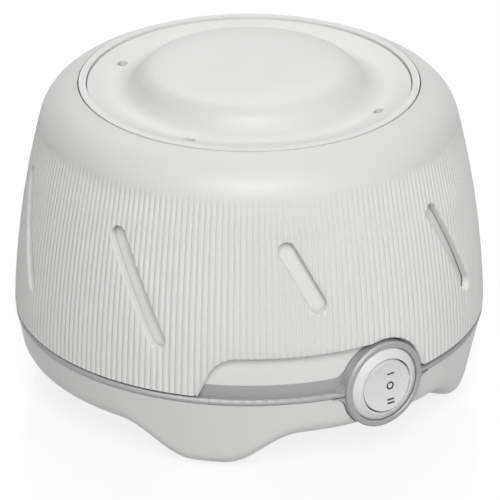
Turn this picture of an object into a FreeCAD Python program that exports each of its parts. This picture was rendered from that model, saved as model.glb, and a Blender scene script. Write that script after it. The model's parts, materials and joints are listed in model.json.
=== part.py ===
import FreeCAD, Part
import math
import os
from FreeCAD import Vector

# White noise sound machine, in millimetres. The origin is on the floor under the centre,
# +Z is up, the switch faces -Y and the cord inlet faces +Y. An azimuth is counted in
# degrees from -Y, counter-clockwise seen from above.

# Base bowl with its four feet
BASE_RIM_Z = 24.6
BASE_FLOOR_Z = 11.8
BASE_CORNER_R = 6.0
BASE_WALL = 2.2
BASE_SETBACK = 0.7
BASE_FLANK_SETBACK = 1.8
BOWL_COLUMNS = 120
FOOT_COUNT = 4
FOOT_FIRST_AZ = 45.0
FOOT_BOTTOM_Z = 0.8
FOOT_SETBACK = 4.55
FOOT_POST_INSET = 18.75
FOOT_INNER_REACH = 6.0
FOOT_RAMP = 15.0
FOOT_FLAT_DEG = 5.0
FOOT_SPREAD_DEG = 23.0
BASE_POST_R = 5.5
PAD_R = 7.0
PAD_T = 1.8
PAD_CLEARANCE = 0.15
INLET_DROP = 7.2
INLET_R = 3.6
INLET_BOSS_R = 5.2
INLET_BOSS_DEPTH = 5.0

# Trim ring with the switch bezel
TRIM_LIP_T = 1.9
TRIM_SETBACK = 0.3
TRIM_EDGE = 0.8
TRIM_FLOOR_T = 0.2
TRIM_SPIGOT_DEPTH = 2.0
TRIM_SPIGOT_T = 1.8
TRIM_SPIGOT_GAP = 0.7
TRIM_WALL_RISE = 3.9
BEZEL_RISE = 1.1
BEZEL_LIP = 2.2
BEZEL_SETBACK = 0.2
BEZEL_DEPTH = 11.1
BEZEL_SEAT_T = 2.0
BEZEL_WALL = 2.2
BEZEL_EDGE = 0.6
BEZEL_CHAMFER = 0.3
BEZEL_GAP = 0.25
FLARE_LOW_R = 5.0
FLARE_LIP_R = 3.0
FLARE_TOP_R = 5.0

# Collar, the turning outer sleeve
COLLAR_BOTTOM_R = 73.3
COLLAR_EDGE_GAP = 0.5
COLLAR_H = 61.4
COLLAR_MID_H = 32.0
COLLAR_MID_TAPER = 2.93
COLLAR_TAPER = 8.8
SHOULDER_R = 14.0
SHOULDER_END_SLOPE = 65.0
COLLAR_WALL = 2.2
COLLAR_TRAVEL = 30.0
SLOT_COUNT = 8
SLOT_FIRST_AZ = 26.8
SLOT_TOP_DROP = 12.7
SLOT_BOTTOM_RISE = 14.6
SLOT_SHORTER = 11.8
SLOT_TWIST = 14.6
SLOT_WIDTH = 5.2
WINDOW_TOP_GAP = 0.35
WINDOW_END_AZ = -42.5
WINDOW_CORNER_R = 9.8
WINDOW_CORNER_X = 6.9
WINDOW_SIDE_ANGLE = 60.0
WINDOW_OVERLAP = 12.0
WINDOW_OVERLAP_DEG = 6.0
COLLAR_CUT_GAP = 0.9
COLLAR_CUT_CORNER_R = 2.6
CUT_OVERRUN = 4.0
OPENING_GAP = 0.4
LUG_AZIMUTHS = (70.0, 160.0, 250.0)
LUG_WIDTH_DEG = 7.0
LUG_HEIGHT = 1.6
LUG_REACH = 1.7
LUG_RISE = 0.4
LUG_ROOT = 0.8
LUG_GAP = 0.3
LUG_GROOVE_WALL = 1.2

# Drum, the fixed inner wall
DRUM_GAP = 0.6
DRUM_WALL = 2.0
DRUM_RIM_RISE = 11.4
DRUM_RIM_T = 2.2
DRUM_PLATE_DROP = 4.8
DRUM_PLATE_T = 2.2
DRUM_POST_R = 4.5
DRUM_POST_H = 19.0
DRUM_POST_CLEAR = 0.03
POST_WEB_T = 2.4
WEB_RISE = 0.6
WEB_ROOT = 0.8

# Cap, the turning dome in the drum's rim. The profile's points are measured inwards from the
# cap's edge and upwards from the drum's rim.
CAP_INSET = 23.4
CAP_GAP = 0.3
CAP_TOP_RISE = 6.1
CAP_POINTS = ((34.9, 5.95), (23.9, 5.55), (19.4, 4.8), (16.6, 3.1), (14.3, 0.5), (11.9, -1.45),
              (8.4, -2.4), (4.4, -1.9), (0.0, -0.6))
CAP_WALL = 2.0
CAP_HOLE_AZ = 31.0
CAP_HOLE_COUNT = 4
CAP_HOLE_INSET = 6.6
CAP_HOLE_LENGTH = 4.1
CAP_HOLE_WIDTH = 2.7
CAP_TRAVEL_BACK = 26.0
CAP_TRAVEL_FORWARD = 4.0
CAP_PEG_INSET = 3.7
CAP_PEG_R = 1.3
CAP_PEG_REACH = 1.2
CAP_PEG_ROOT = 2.2
PEG_GROOVE_DEPTH = 1.5
PEG_GROOVE_GAP = 0.3
SPINDLE_R = 5.0
SPINDLE_CLEARANCE = 0.08
SPINDLE_BORE_R = 1.5
CAP_SCREW_R = 1.45
CAP_SCREW_HEAD_R = 3.0
CAP_SCREW_HEAD_H = 2.2
CAP_SCREW_LENGTH = 8.0
RETAINER_R = 9.0
RETAINER_T = 1.4
RETAINER_BORE_R = 1.7
CAP_FELT_T = 0.8

# Switch
SWITCH_FLANGE_R = 11.75
SWITCH_DOME = 0.9
SWITCH_EDGE_SINK = 0.8
SWITCH_SEAT_SINK = 1.9
SWITCH_EDGE = 0.5
SWITCH_BARREL_INSET = 1.95
SWITCH_BARREL_LENGTH = 15.2
SWITCH_BARREL_WALL = 0.95
SWITCH_FLOOR_T = 3.0
SWITCH_FIT = 0.2
BARREL_FIT = 0.3
SNAP_REACH = 0.6
SNAP_GAP = 0.1
SNAP_LENGTH = 3.0
SNAP_HALF_WIDTH = 2.0
ROCKER_SIDE_GAP = 0.35
ROCKER_PIVOT_DEPTH = 1.8
ROCKER_PROUD = 0.6
ROCKER_DISH = 0.9
ROCKER_DEPTH = 2.6
ROCKER_EDGE = 0.3
ROCKER_PIN_R = 1.2
ROCKER_PIN_INSET = 0.1
RUNNING_CLEARANCE = 0.08
PLUNGER_R = 1.2
PLUNGER_LENGTH = 3.6
PLUNGER_GAP = 0.35
STEM_WALL = 1.0
SPRING_POCKET = 0.6
SPRING_WIRE_R = 0.16
BLADE_GAP = 1.7
BLADE_HALF_WIDTH = 2.0
BLADE_OVERHANG = 1.2
TERMINAL_WIDTH = 4.8
TERMINAL_T = 0.8
TERMINAL_PITCH = 7.0
TERMINAL_OUT = 9.0
TERMINAL_IN = 1.0
PIVOT_TERMINAL_IN = 1.6

# Motor deck
DECK_GAP = 0.1
DECK_T = 2.4
DECK_CUP_HOLE_R = 9.0
DECK_BAY_GAP = 1.2
DECK_BAY_DEPTH = 1.5
DECK_WIRE_BAY = (9.0, 19.0)
LEAD_HOLE_HALF = (11.0, 4.0)
GROMMET_HOLE_R = 4.0
GROMMET_FLANGE_R = 6.0
GROMMET_FLANGE_T = 2.0
GROMMET_BORE_GAP = 0.6

# Motor, shaft vertical
MOTOR_RISE = 11.4
STACK_H = 12.0
STATOR_HALF_WIDTH = 25.0
STATOR_POLE_Y = 17.0
STATOR_LEG_WIDTH = 11.0
CORE_BAR_Y = 28.0
CORE_BAR_W = 10.0
ROTOR_R = 12.9
AIR_GAP = 0.4
SHAFT_R = 2.5
SHAFT_ABOVE_FAN = 4.5
END_RING_T = 3.0
END_RING_INSET = 0.4
END_RING_BORE_R = 6.5
SPACER_WALL = 0.7
THRUST_WASHER_T = 0.55
THRUST_PLAY = 0.15
MOTOR_SCREW_INSET = 5.0
MOTOR_SCREW_R = 1.75
MOTOR_SCREW_GAP = 0.1
MOTOR_SCREW_HEAD_R = 3.2
MOTOR_SCREW_HEAD_H = 2.2
MOTOR_SCREW_END = 5.0
MOTOR_SPACER_WALL = 1.65
SPACER_BELOW = 0.4
WASHER_R = 5.0
WASHER_T = 1.0
NUT_HALF = 3.0
NUT_H = 2.8
NUT_CLEAR = 0.02
BRACKET_T = 1.6
BRACKET_RISE = 5.0
BRACKET_HALF_WIDTH = 5.0
BRACKET_KNEE_INSET = 10.2
BRACKET_FOOT_INSET = 1.0
BUSH_R = 5.0
BUSH_H = 4.4
BUSH_FIT = 0.05
CUP_R = 7.0
CUP_LIP_T = 1.2
CUP_HOLE_GAP = 1.1
FELT_T = 1.6
FELT_GAP = 0.4
BEARING_CAP_T = 0.6
BEARING_CAP_GAP = 0.6
COIL_DEPTH = 7.0
COIL_UNDER_FLANGE = 0.8
COIL_CORNER_R = 4.0
BOBBIN_FIT = 0.2
BOBBIN_END_GAP = 0.4
BOBBIN_WALL = 1.0
BOBBIN_FLANGE_T = 1.2
SHADING_WIRE_R = 1.1
SHADING_FIT = 0.1
SHADING_STAND_OFF = 0.15
SHADING_POINTS = ((14.5, 7.0), (21.5, 10.4))

# Fan
FAN_R = 42.0
FAN_GAP = 1.7
FAN_PLATE_T = 1.6
FAN_HEADROOM = 15.0
FAN_HUB_R = 8.0
FAN_BLADE_T = 1.6
FAN_BLADE_INNER_R = 14.0
FAN_BLADE_INSET = 1.0
FAN_BLADE_SLOPE = 20.0
FAN_BLADE_SLOPE_IN = 6.0
FAN_BLADE_AZIMUTHS = (0.0, 41.0, 88.0, 131.0, 180.0, 226.0, 268.0, 318.0)
FAN_CLIP_R = 5.5
FAN_CLIP_T = 1.0

# Fasteners and wiring
HOUSING_SCREW_R = 1.75
HOUSING_SCREW_HEAD_R = 3.2
HOUSING_SCREW_HEAD_H = 2.4
HOUSING_SCREW_SEAT_Z = 10.0
HOUSING_SCREW_LENGTH = 30.0
HOUSING_SCREW_POCKET_GAP = 0.4
DRIVER_SLOT = (2.2, 0.5, 1.2)
SCREW_CLEARANCE = 0.15
LEAD_R = 0.9
LEAD_END_GAP = 0.35
LEAD_BEND_SHARE = 0.45
LEAD_HOLE_BEHIND = 8.6
LEAD_FLOOR_GAP = 3.4
LEAD_CROSSING_GAP = 6.7
SPLICE_R = 2.6
SPLICE_LENGTH = 15.0
SPLICE_BORE_R = 1.1
SPLICE_BORE_DEPTH = 8.0
SPLICE_FLOOR_GAP = 0.3
SPLICE_CRADLE_GAP = 0.2
SPLICE_CRADLE = (6.0, 10.0)
SPLICE_CRADLE_WALL = 2.0
SPLICE_Y = 44.0
SPLICE_X = (-14.0, -22.5)

# Worked-out radii
BASE_RIM_R = COLLAR_BOTTOM_R - BASE_SETBACK
BASE_FLANK_R = COLLAR_BOTTOM_R - BASE_FLANK_SETBACK
FOOT_FLANK_R = COLLAR_BOTTOM_R - FOOT_SETBACK
POST_PITCH_R = FOOT_FLANK_R - FOOT_POST_INSET
FOOT_INNER_R = POST_PITCH_R - FOOT_INNER_REACH
FOOT_ROOT_R = FOOT_INNER_R - FOOT_RAMP
TRIM_LIP_R = COLLAR_BOTTOM_R - TRIM_SETBACK
BEZEL_R = SWITCH_FLANGE_R + BEZEL_LIP
SWITCH_BARREL_R = SWITCH_FLANGE_R - SWITCH_BARREL_INSET
SWITCH_POCKET_R = SWITCH_BARREL_R - SWITCH_BARREL_WALL
ROCKER_R = SWITCH_POCKET_R - ROCKER_SIDE_GAP
ROCKER_PIN_REACH = SWITCH_BARREL_R - ROCKER_PIN_INSET
CAP_EDGE_R = COLLAR_BOTTOM_R - CAP_INSET
CAP_HOLE_PITCH_R = CAP_EDGE_R - CAP_HOLE_INSET
CAP_PEG_PITCH_R = CAP_EDGE_R - CAP_PEG_INSET
DRUM_RIM_INNER_R = CAP_EDGE_R + CAP_GAP
DRUM_RIM_OUTER_R = DRUM_RIM_INNER_R + DRUM_RIM_T
DECK_R = BASE_RIM_R - BASE_WALL - TRIM_SPIGOT_GAP - TRIM_SPIGOT_T - DECK_GAP
STATOR_BORE_R = ROTOR_R + AIR_GAP
MOTOR_SCREW_X = STATOR_HALF_WIDTH - MOTOR_SCREW_INSET
GROMMET_BORE_R = MOTOR_SCREW_R + GROMMET_BORE_GAP

# Worked-out heights
BASE_INNER_Z = BASE_FLOOR_Z + BASE_WALL
INLET_Z = BASE_RIM_Z - INLET_DROP
DECK_Z = BASE_RIM_Z
TRIM_LIP_Z = BASE_RIM_Z + TRIM_LIP_T
TRIM_WALL_TOP_Z = TRIM_LIP_Z + TRIM_WALL_RISE
BEZEL_Z = BASE_RIM_Z + BEZEL_RISE
COLLAR_BOTTOM_Z = TRIM_LIP_Z + COLLAR_EDGE_GAP
COLLAR_MID = (COLLAR_BOTTOM_R - COLLAR_MID_TAPER, COLLAR_BOTTOM_Z + COLLAR_MID_H)
SHOULDER_START = (COLLAR_BOTTOM_R - COLLAR_TAPER, COLLAR_BOTTOM_Z + COLLAR_H)
WINDOW_TOP_Z = BEZEL_Z + BEZEL_R + WINDOW_TOP_GAP
SLOT_TOP_Z = SHOULDER_START[1] - SLOT_TOP_DROP
SLOT_BOTTOM_Z = COLLAR_BOTTOM_Z + SLOT_BOTTOM_RISE
SLOT_SHORT_BOTTOM_Z = SLOT_BOTTOM_Z + SLOT_SHORTER
DRUM_RIM_Z = SHOULDER_START[1] + DRUM_RIM_RISE
DRUM_PLATE_Z = DRUM_RIM_Z - DRUM_PLATE_DROP
DRUM_POST_TOP_Z = DECK_Z + DECK_T + DRUM_POST_H
CAP_PROFILE = ((0.0, DRUM_RIM_Z + CAP_TOP_RISE),)
CAP_PROFILE += tuple((CAP_EDGE_R - inward, DRUM_RIM_Z + rise) for inward, rise in CAP_POINTS)
STACK_Z = DECK_Z + MOTOR_RISE
STACK_TOP_Z = STACK_Z + STACK_H
BUSH_Z = STACK_TOP_Z + BRACKET_RISE + CUP_LIP_T
BEARING_TOP_Z = BUSH_Z + BUSH_H + FELT_T
FAN_PLATE_Z = BEARING_TOP_Z + BEARING_CAP_T + FAN_GAP
FAN_TOP_Z = DRUM_PLATE_Z - FAN_HEADROOM
SHAFT_TOP_Z = FAN_TOP_Z + SHAFT_ABOVE_FAN
SPLICE_Z = BASE_INNER_Z + SPLICE_FLOOR_GAP + SPLICE_R

# Worked-out depths along the switch's axis
BEZEL_FACE_Y = BEZEL_SETBACK - COLLAR_BOTTOM_R
BEZEL_BACK_Y = BEZEL_FACE_Y + BEZEL_DEPTH
SWITCH_FACE_Y = BEZEL_FACE_Y - SWITCH_DOME
SWITCH_EDGE_Y = BEZEL_FACE_Y + SWITCH_EDGE_SINK
SWITCH_SEAT_Y = BEZEL_FACE_Y + SWITCH_SEAT_SINK
SWITCH_BACK_Y = SWITCH_SEAT_Y + SWITCH_BARREL_LENGTH
POCKET_FLOOR_Y = SWITCH_BACK_Y - SWITCH_FLOOR_T
ROCKER_PIVOT_Y = SWITCH_FACE_Y + ROCKER_PIVOT_DEPTH
BLADE_Y = POCKET_FLOOR_Y - BLADE_GAP - TERMINAL_T
PLUNGER_TIP_Y = BLADE_Y - PLUNGER_GAP
TERMINAL_END_Y = SWITCH_BACK_Y + TERMINAL_OUT
COIL_BACK_Y = CORE_BAR_Y + CORE_BAR_W + BOBBIN_FIT + BOBBIN_WALL + COIL_DEPTH - COIL_UNDER_FLANGE
LEAD_HOLE_Y = COIL_BACK_Y + LEAD_HOLE_BEHIND
FAR = 200.0


def polar(radius, azimuth, z=0.0):
    angle = math.radians(azimuth)
    return Vector(radius * math.sin(angle), -radius * math.cos(angle), z)


def turned(shape, azimuth):
    copy = shape.copy()
    copy.rotate(Vector(0, 0, 0), Vector(0, 0, 1), azimuth)
    return copy


def cylinder(radius, z_low, z_high, centre=Vector(0, 0, 0)):
    return Part.makeCylinder(radius, z_high - z_low, Vector(centre.x, centre.y, z_low))


def tube(outer, inner, z_low, z_high, centre=Vector(0, 0, 0)):
    return cylinder(outer, z_low, z_high, centre).cut(cylinder(inner, z_low - 1, z_high + 1, centre))


def rod_y(radius, y_low, y_high, x=0.0, z=0.0):
    return Part.makeCylinder(radius, y_high - y_low, Vector(x, y_low, z), Vector(0, 1, 0))


def rod_x(radius, x_low, x_high, y, z):
    return Part.makeCylinder(radius, x_high - x_low, Vector(x_low, y, z), Vector(1, 0, 0))


def block(x, y, z):
    return Part.makeBox(x[1] - x[0], y[1] - y[0], z[1] - z[0], Vector(x[0], y[0], z[0]))


def lines(points):
    return [Part.LineSegment(a, b).toShape() for a, b in zip(points[:-1], points[1:])]


def revolved(edges):
    face = Part.Face(Part.Wire(Part.__sortEdges__(edges)))
    return face.revolve(Vector(0, 0, 0), Vector(0, 0, 1), 360)


def round_edge(centre_r, centre_z, radius, start):
    """A quarter of a circle in the profile's plane. It starts at an angle in degrees."""
    angles = [math.radians(start + turn) for turn in (0, 45, 90)]
    points = [Vector(centre_r + radius * math.cos(a), 0, centre_z + radius * math.sin(a)) for a in angles]
    return Part.Arc(*points).toShape()


def turned_about_y(points, z):
    corners = [Vector(r, y, z) for r, y in points]
    face = Part.Face(Part.Wire(lines(corners + corners[:1])))
    return face.revolve(Vector(0, 0, z), Vector(0, 1, 0), 360)


def united(shapes):
    first, rest = shapes[0], shapes[1:]
    return first.multiFuse(rest).removeSplitter() if rest else first


def around(count, first_azimuth=0.0):
    return [first_azimuth + 360.0 * i / count for i in range(count)]


# The skin: the outer line of the collar and all lines parallel to it

def circle_through(a, b, c):
    d = 2 * (a[0] * (b[1] - c[1]) + b[0] * (c[1] - a[1]) + c[0] * (a[1] - b[1]))
    sa, sb, sc = (p[0] ** 2 + p[1] ** 2 for p in (a, b, c))
    x = (sa * (b[1] - c[1]) + sb * (c[1] - a[1]) + sc * (a[1] - b[1])) / d
    z = (sa * (c[0] - b[0]) + sb * (a[0] - c[0]) + sc * (b[0] - a[0])) / d
    return x, z, math.hypot(a[0] - x, a[1] - z)


WALL_X, WALL_Z, WALL_R = circle_through((COLLAR_BOTTOM_R, COLLAR_BOTTOM_Z), COLLAR_MID, SHOULDER_START)
WALL_END = math.atan2(SHOULDER_START[1] - WALL_Z, SHOULDER_START[0] - WALL_X)
SHOULDER_X = SHOULDER_START[0] - SHOULDER_R * math.cos(WALL_END)
SHOULDER_Z = SHOULDER_START[1] - SHOULDER_R * math.sin(WALL_END)
SHOULDER_END = math.radians(SHOULDER_END_SLOPE)


def skin_radius(offset, z):
    """Radius of the wall's line at a height, for a line this far inside the outer one."""
    return WALL_X + math.sqrt((WALL_R - offset) ** 2 - (z - WALL_Z) ** 2)


def skin_edges(offset, z_low, end_radius):
    """The line's wall arc, shoulder arc and straight end, and its two end points."""
    def wall(angle):
        r = WALL_R - offset
        return Vector(WALL_X + r * math.cos(angle), 0, WALL_Z + r * math.sin(angle))

    def shoulder(angle):
        r = SHOULDER_R - offset
        return Vector(SHOULDER_X + r * math.cos(angle), 0, SHOULDER_Z + r * math.sin(angle))

    start = math.asin((z_low - WALL_Z) / (WALL_R - offset))
    low, mid, high = wall(start), wall((start + WALL_END) / 2), wall(WALL_END)
    bend, end = shoulder((WALL_END + SHOULDER_END) / 2), shoulder(SHOULDER_END)
    drop = (end.x - end_radius) / math.sin(SHOULDER_END)
    tip = end + Vector(-math.sin(SHOULDER_END), 0, math.cos(SHOULDER_END)) * drop
    edges = [Part.Arc(low, mid, high).toShape(), Part.Arc(high, bend, end).toShape()]
    return edges + lines([end, tip]), low, tip


def under_skin(offset, z_low, end_radius, z_top):
    """Everything inside a skin line: solid to the axis, with a flat top inside end_radius."""
    edges, low, tip = skin_edges(offset, z_low, end_radius)
    corners = [tip, Vector(end_radius, 0, z_top), Vector(0, 0, z_top), Vector(0, 0, z_low), low]
    return revolved(edges + lines(corners))


# Slots

def slot_cutter(bottom_z):
    """A slanted stadium-ended bar that points outwards through the wall at azimuth 0."""
    rise = SLOT_TOP_Z - SLOT_BOTTOM_Z
    radius = skin_radius(0, (SLOT_TOP_Z + SLOT_BOTTOM_Z) / 2)
    run = radius * math.radians(SLOT_TWIST)
    slant = math.degrees(math.atan2(run, rise))
    length = math.hypot(run, rise) * (SLOT_TOP_Z - bottom_z) / rise
    half = SLOT_WIDTH / 2
    bar = block((-half, half), (-FAR, -COLLAR_MID[0] / 2), (-length + half, -half))
    ends = [rod_y(half, -FAR, -COLLAR_MID[0] / 2, 0, z) for z in (-half, -length + half)]
    cutter = united([bar] + ends)
    cutter.rotate(Vector(0, 0, 0), Vector(0, 1, 0), -slant)
    cutter.translate(Vector(-run / 2, 0, SLOT_TOP_Z))
    return cutter


def slot_azimuths():
    return around(SLOT_COUNT, SLOT_FIRST_AZ)


# The switch window of the collar and the flares of the trim ring

def flare_face(circle_r, flare_r, z_line, side, upward):
    """Area between a level line, the bezel's circle and an arc that touches both."""
    sign = 1 if upward else -1
    centre = Vector(0, 0, z_line + sign * flare_r)
    across = math.sqrt((circle_r + flare_r) ** 2 - (centre.z - BEZEL_Z) ** 2)
    centre.x = side * across
    hub = Vector(0, 0, BEZEL_Z)
    on_line = Vector(centre.x, 0, z_line)
    on_circle = hub + (centre - hub) * (circle_r / (circle_r + flare_r))
    middle = (on_line + on_circle) * 0.5 - centre
    on_arc = centre + middle * (flare_r / middle.Length)
    edges = [Part.Arc(on_line, on_arc, on_circle).toShape()]
    edges += lines([on_circle, Vector(0, 0, on_circle.z), Vector(0, 0, z_line), on_line])
    return Part.Face(Part.Wire(edges))


def flare_bar(circle_r, flare_r, z_line, side, upward):
    face = flare_face(circle_r, flare_r, z_line, side, upward)
    face.translate(Vector(0, -FAR, 0))
    return face.extrude(Vector(0, FAR + BEZEL_BACK_Y, 0))


def window_end():
    """Left end of the window: a leaning side with a large rounded upper corner."""
    lean = math.radians(WINDOW_SIDE_ANGLE)
    centre = Vector(WINDOW_CORNER_X, 0, WINDOW_TOP_Z - WINDOW_CORNER_R)
    start = centre + Vector(-math.sin(lean), 0, math.cos(lean)) * WINDOW_CORNER_R
    half = lean / 2
    bend = centre + Vector(-math.sin(half), 0, math.cos(half)) * WINDOW_CORNER_R
    top = centre + Vector(0, 0, WINDOW_CORNER_R)
    depth = start.z - COLLAR_BOTTOM_Z + CUT_OVERRUN
    foot = start - Vector(math.cos(lean), 0, math.sin(lean)) * (depth / math.sin(lean))
    edges = [Part.Arc(start, bend, top).toShape()]
    edges += lines([top, Vector(WINDOW_OVERLAP, 0, top.z), Vector(WINDOW_OVERLAP, 0, foot.z), foot, start])
    face = Part.Face(Part.Wire(edges))
    face.translate(Vector(0, -FAR, 0))
    return turned(face.extrude(Vector(0, FAR - COLLAR_BOTTOM_R / 2, 0)), WINDOW_END_AZ)


def sector(azimuth_low, azimuth_high, r_in, r_out, z_low, z_high):
    """Part of a flat ring between two azimuths."""
    corners = [Vector(r_in, 0, z_low), Vector(r_out, 0, z_low),
               Vector(r_out, 0, z_high), Vector(r_in, 0, z_high)]
    face = Part.Face(Part.Wire(lines(corners + corners[:1])))
    solid = face.revolve(Vector(0, 0, 0), Vector(0, 0, 1), azimuth_high - azimuth_low)
    return turned(solid, azimuth_low - 90)


def window_cutter():
    circle_r = BEZEL_R + COLLAR_CUT_GAP
    span = sector(WINDOW_END_AZ + WINDOW_OVERLAP_DEG, 0, COLLAR_BOTTOM_R / 2, FAR / 2,
                  COLLAR_BOTTOM_Z - CUT_OVERRUN, WINDOW_TOP_Z)
    circle = rod_y(circle_r, -FAR, -COLLAR_BOTTOM_R / 2, 0, BEZEL_Z)
    corner = flare_bar(circle_r, COLLAR_CUT_CORNER_R, COLLAR_BOTTOM_Z, 1, True)
    return united([span, circle, window_end(), corner])


# Collar

def tone_collar():
    opening = DRUM_RIM_OUTER_R + OPENING_GAP
    outer, outer_low, outer_tip = skin_edges(0, COLLAR_BOTTOM_Z, opening)
    inner, inner_low, inner_tip = skin_edges(COLLAR_WALL, COLLAR_BOTTOM_Z, opening)
    collar = revolved(outer + inner + lines([outer_tip, inner_tip]) + lines([outer_low, inner_low]))
    inside_r = skin_radius(COLLAR_WALL, COLLAR_BOTTOM_Z)
    lugs = [lug(azimuth, inside_r) for azimuth in LUG_AZIMUTHS]
    collar = united([collar] + lugs)
    short = slot_azimuths()[-1]
    for azimuth in slot_azimuths():
        bottom = SLOT_SHORT_BOTTOM_Z if azimuth == short else SLOT_BOTTOM_Z
        collar = collar.cut(turned(slot_cutter(bottom), azimuth))
    return collar.cut(window_cutter())


def lug(azimuth, inside_r):
    """A small catch under the collar's edge that runs in the trim ring's groove."""
    half = LUG_WIDTH_DEG / 2
    z = COLLAR_BOTTOM_Z + LUG_RISE
    return sector(azimuth - half, azimuth + half, inside_r - LUG_REACH, inside_r + LUG_ROOT, z, z + LUG_HEIGHT)


# Drum

def sound_drum():
    outside = COLLAR_WALL + DRUM_GAP
    shell = under_skin(outside, TRIM_WALL_TOP_Z, DRUM_RIM_OUTER_R, DRUM_RIM_Z)
    hollow = under_skin(outside + DRUM_WALL, TRIM_WALL_TOP_Z - 1, DRUM_RIM_OUTER_R, DRUM_RIM_Z)
    hollow = hollow.common(cylinder(FAR, 0, DRUM_PLATE_Z - DRUM_PLATE_T))
    drum = shell.cut(hollow).cut(cylinder(DRUM_RIM_INNER_R, DRUM_PLATE_Z, FAR))
    drum = united([drum] + [drum_post(azimuth) for azimuth in around(FOOT_COUNT, FOOT_FIRST_AZ)])
    for azimuth in slot_azimuths():
        drum = drum.cut(turned(slot_cutter(SLOT_BOTTOM_Z), azimuth + COLLAR_TRAVEL))
    drum = drum.cut(cylinder(SPINDLE_R + SPINDLE_CLEARANCE, 0, FAR))
    for azimuth in around(CAP_HOLE_COUNT, CAP_HOLE_AZ + CAP_TRAVEL_FORWARD):
        drum = drum.cut(cap_hole_cutter(azimuth))
    for azimuth in peg_azimuths():
        drum = drum.cut(peg_groove(azimuth))
    for azimuth in around(FOOT_COUNT, FOOT_FIRST_AZ):
        hole_top = HOUSING_SCREW_SEAT_Z + HOUSING_SCREW_LENGTH + 1
        centre = polar(POST_PITCH_R, azimuth)
        drum = drum.cut(cylinder(HOUSING_SCREW_R + DRUM_POST_CLEAR, 0, hole_top, centre))
    drum = drum.cut(rod_y(BEZEL_R + BEZEL_GAP, -FAR, -DRUM_RIM_OUTER_R, 0, BEZEL_Z))
    for side in (-1, 1):
        drum = drum.cut(flare_bar(BEZEL_R + BEZEL_GAP, FLARE_TOP_R - BEZEL_GAP, TRIM_WALL_TOP_Z, side, True))
    return drum


def drum_post(azimuth):
    """A screw post joined to the drum's wall by a web."""
    low = DECK_Z + DECK_T
    post = cylinder(DRUM_POST_R, low, DRUM_POST_TOP_Z, Vector(0, -POST_PITCH_R, 0))
    reach = skin_radius(COLLAR_WALL + DRUM_GAP + DRUM_WALL, DRUM_POST_TOP_Z) + WEB_ROOT
    half = POST_WEB_T / 2
    web = block((-half, half), (-reach, -POST_PITCH_R), (TRIM_WALL_TOP_Z + WEB_RISE, DRUM_POST_TOP_Z))
    return turned(united([post, web]), azimuth)


# Cap

def cap_hole_cutter(azimuth):
    half = CAP_HOLE_WIDTH / 2
    reach = CAP_HOLE_LENGTH / 2 - half
    low, high = DRUM_PLATE_Z - 3, FAR
    middle = block((-reach, reach), (-CAP_HOLE_PITCH_R - half, -CAP_HOLE_PITCH_R + half), (low, high))
    ends = [cylinder(half, low, high, Vector(x, -CAP_HOLE_PITCH_R, 0)) for x in (-reach, reach)]
    return turned(united([middle] + ends), azimuth)


def peg_azimuths():
    return around(2, CAP_HOLE_AZ + 180.0 / CAP_HOLE_COUNT)


def peg_groove(azimuth):
    """The arc in the drum's plate that stops the cap's peg at both ends of its travel."""
    width = CAP_PEG_R + PEG_GROOVE_GAP
    low, high = azimuth - CAP_TRAVEL_BACK, azimuth + CAP_TRAVEL_FORWARD
    floor = DRUM_PLATE_Z - PEG_GROOVE_DEPTH
    arc = sector(low, high, CAP_PEG_PITCH_R - width, CAP_PEG_PITCH_R + width, floor, DRUM_PLATE_Z + 1)
    ends = [cylinder(width, floor, DRUM_PLATE_Z + 1, polar(CAP_PEG_PITCH_R, a)) for a in (low, high)]
    return united([arc] + ends)


def cap_curve(inset):
    """The cap's top line, or the line this far inside it."""
    curve = Part.BSplineCurve()
    curve.interpolate(Points=[Vector(r, 0, z) for r, z in CAP_PROFILE])
    if not inset:
        return curve
    points = []
    for r, z in CAP_PROFILE:
        tangent = curve.tangent(curve.parameter(Vector(r, 0, z)))[0]
        points.append(Vector(r, 0, z) + Vector(tangent.z, 0, -tangent.x) * inset)
    points[0] = Vector(0, 0, CAP_PROFILE[0][1] - inset)
    inner = Part.BSplineCurve()
    inner.interpolate(Points=points)
    return inner


def tone_cap():
    top, under = cap_curve(0).toShape(), cap_curve(CAP_WALL).toShape()
    skirt_z = DRUM_PLATE_Z + CAP_GAP
    start, end = under.Vertexes[0].Point, under.Vertexes[-1].Point
    edge = Vector(CAP_EDGE_R, 0, CAP_PROFILE[-1][1])
    skirt = [end, Vector(end.x, 0, skirt_z), Vector(CAP_EDGE_R, 0, skirt_z), edge]
    cap = revolved([top, under] + lines(skirt) + lines([start, Vector(0, 0, CAP_PROFILE[0][1])]))
    spindle = cylinder(SPINDLE_R, spindle_low(), CAP_PROFILE[0][1] - 1)
    peg_low, peg_high = DRUM_PLATE_Z - CAP_PEG_REACH, CAP_PROFILE[-1][1] - CAP_PEG_ROOT
    pegs = [cylinder(CAP_PEG_R, peg_low, peg_high, polar(CAP_PEG_PITCH_R, azimuth))
            for azimuth in peg_azimuths()]
    cap = united([cap, spindle] + pegs)
    for azimuth in around(CAP_HOLE_COUNT, CAP_HOLE_AZ):
        cap = cap.cut(cap_hole_cutter(azimuth))
    return cap.cut(cylinder(SPINDLE_BORE_R, 0, spindle_low() + CAP_SCREW_LENGTH + 1))


def spindle_low():
    return DRUM_PLATE_Z - DRUM_PLATE_T - 1.0


def cap_felt():
    return tube(RETAINER_R, SPINDLE_R + FELT_GAP / 2, spindle_low(), spindle_low() + CAP_FELT_T)


def cap_retainer():
    return tube(RETAINER_R, RETAINER_BORE_R, spindle_low() - RETAINER_T, spindle_low())


def cap_screw():
    head = spindle_low() - RETAINER_T
    shank = cylinder(CAP_SCREW_R, head - 0.5, spindle_low() + CAP_SCREW_LENGTH)
    return united([cylinder(CAP_SCREW_HEAD_R, head - CAP_SCREW_HEAD_H, head), shank])


# Base bowl

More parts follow.
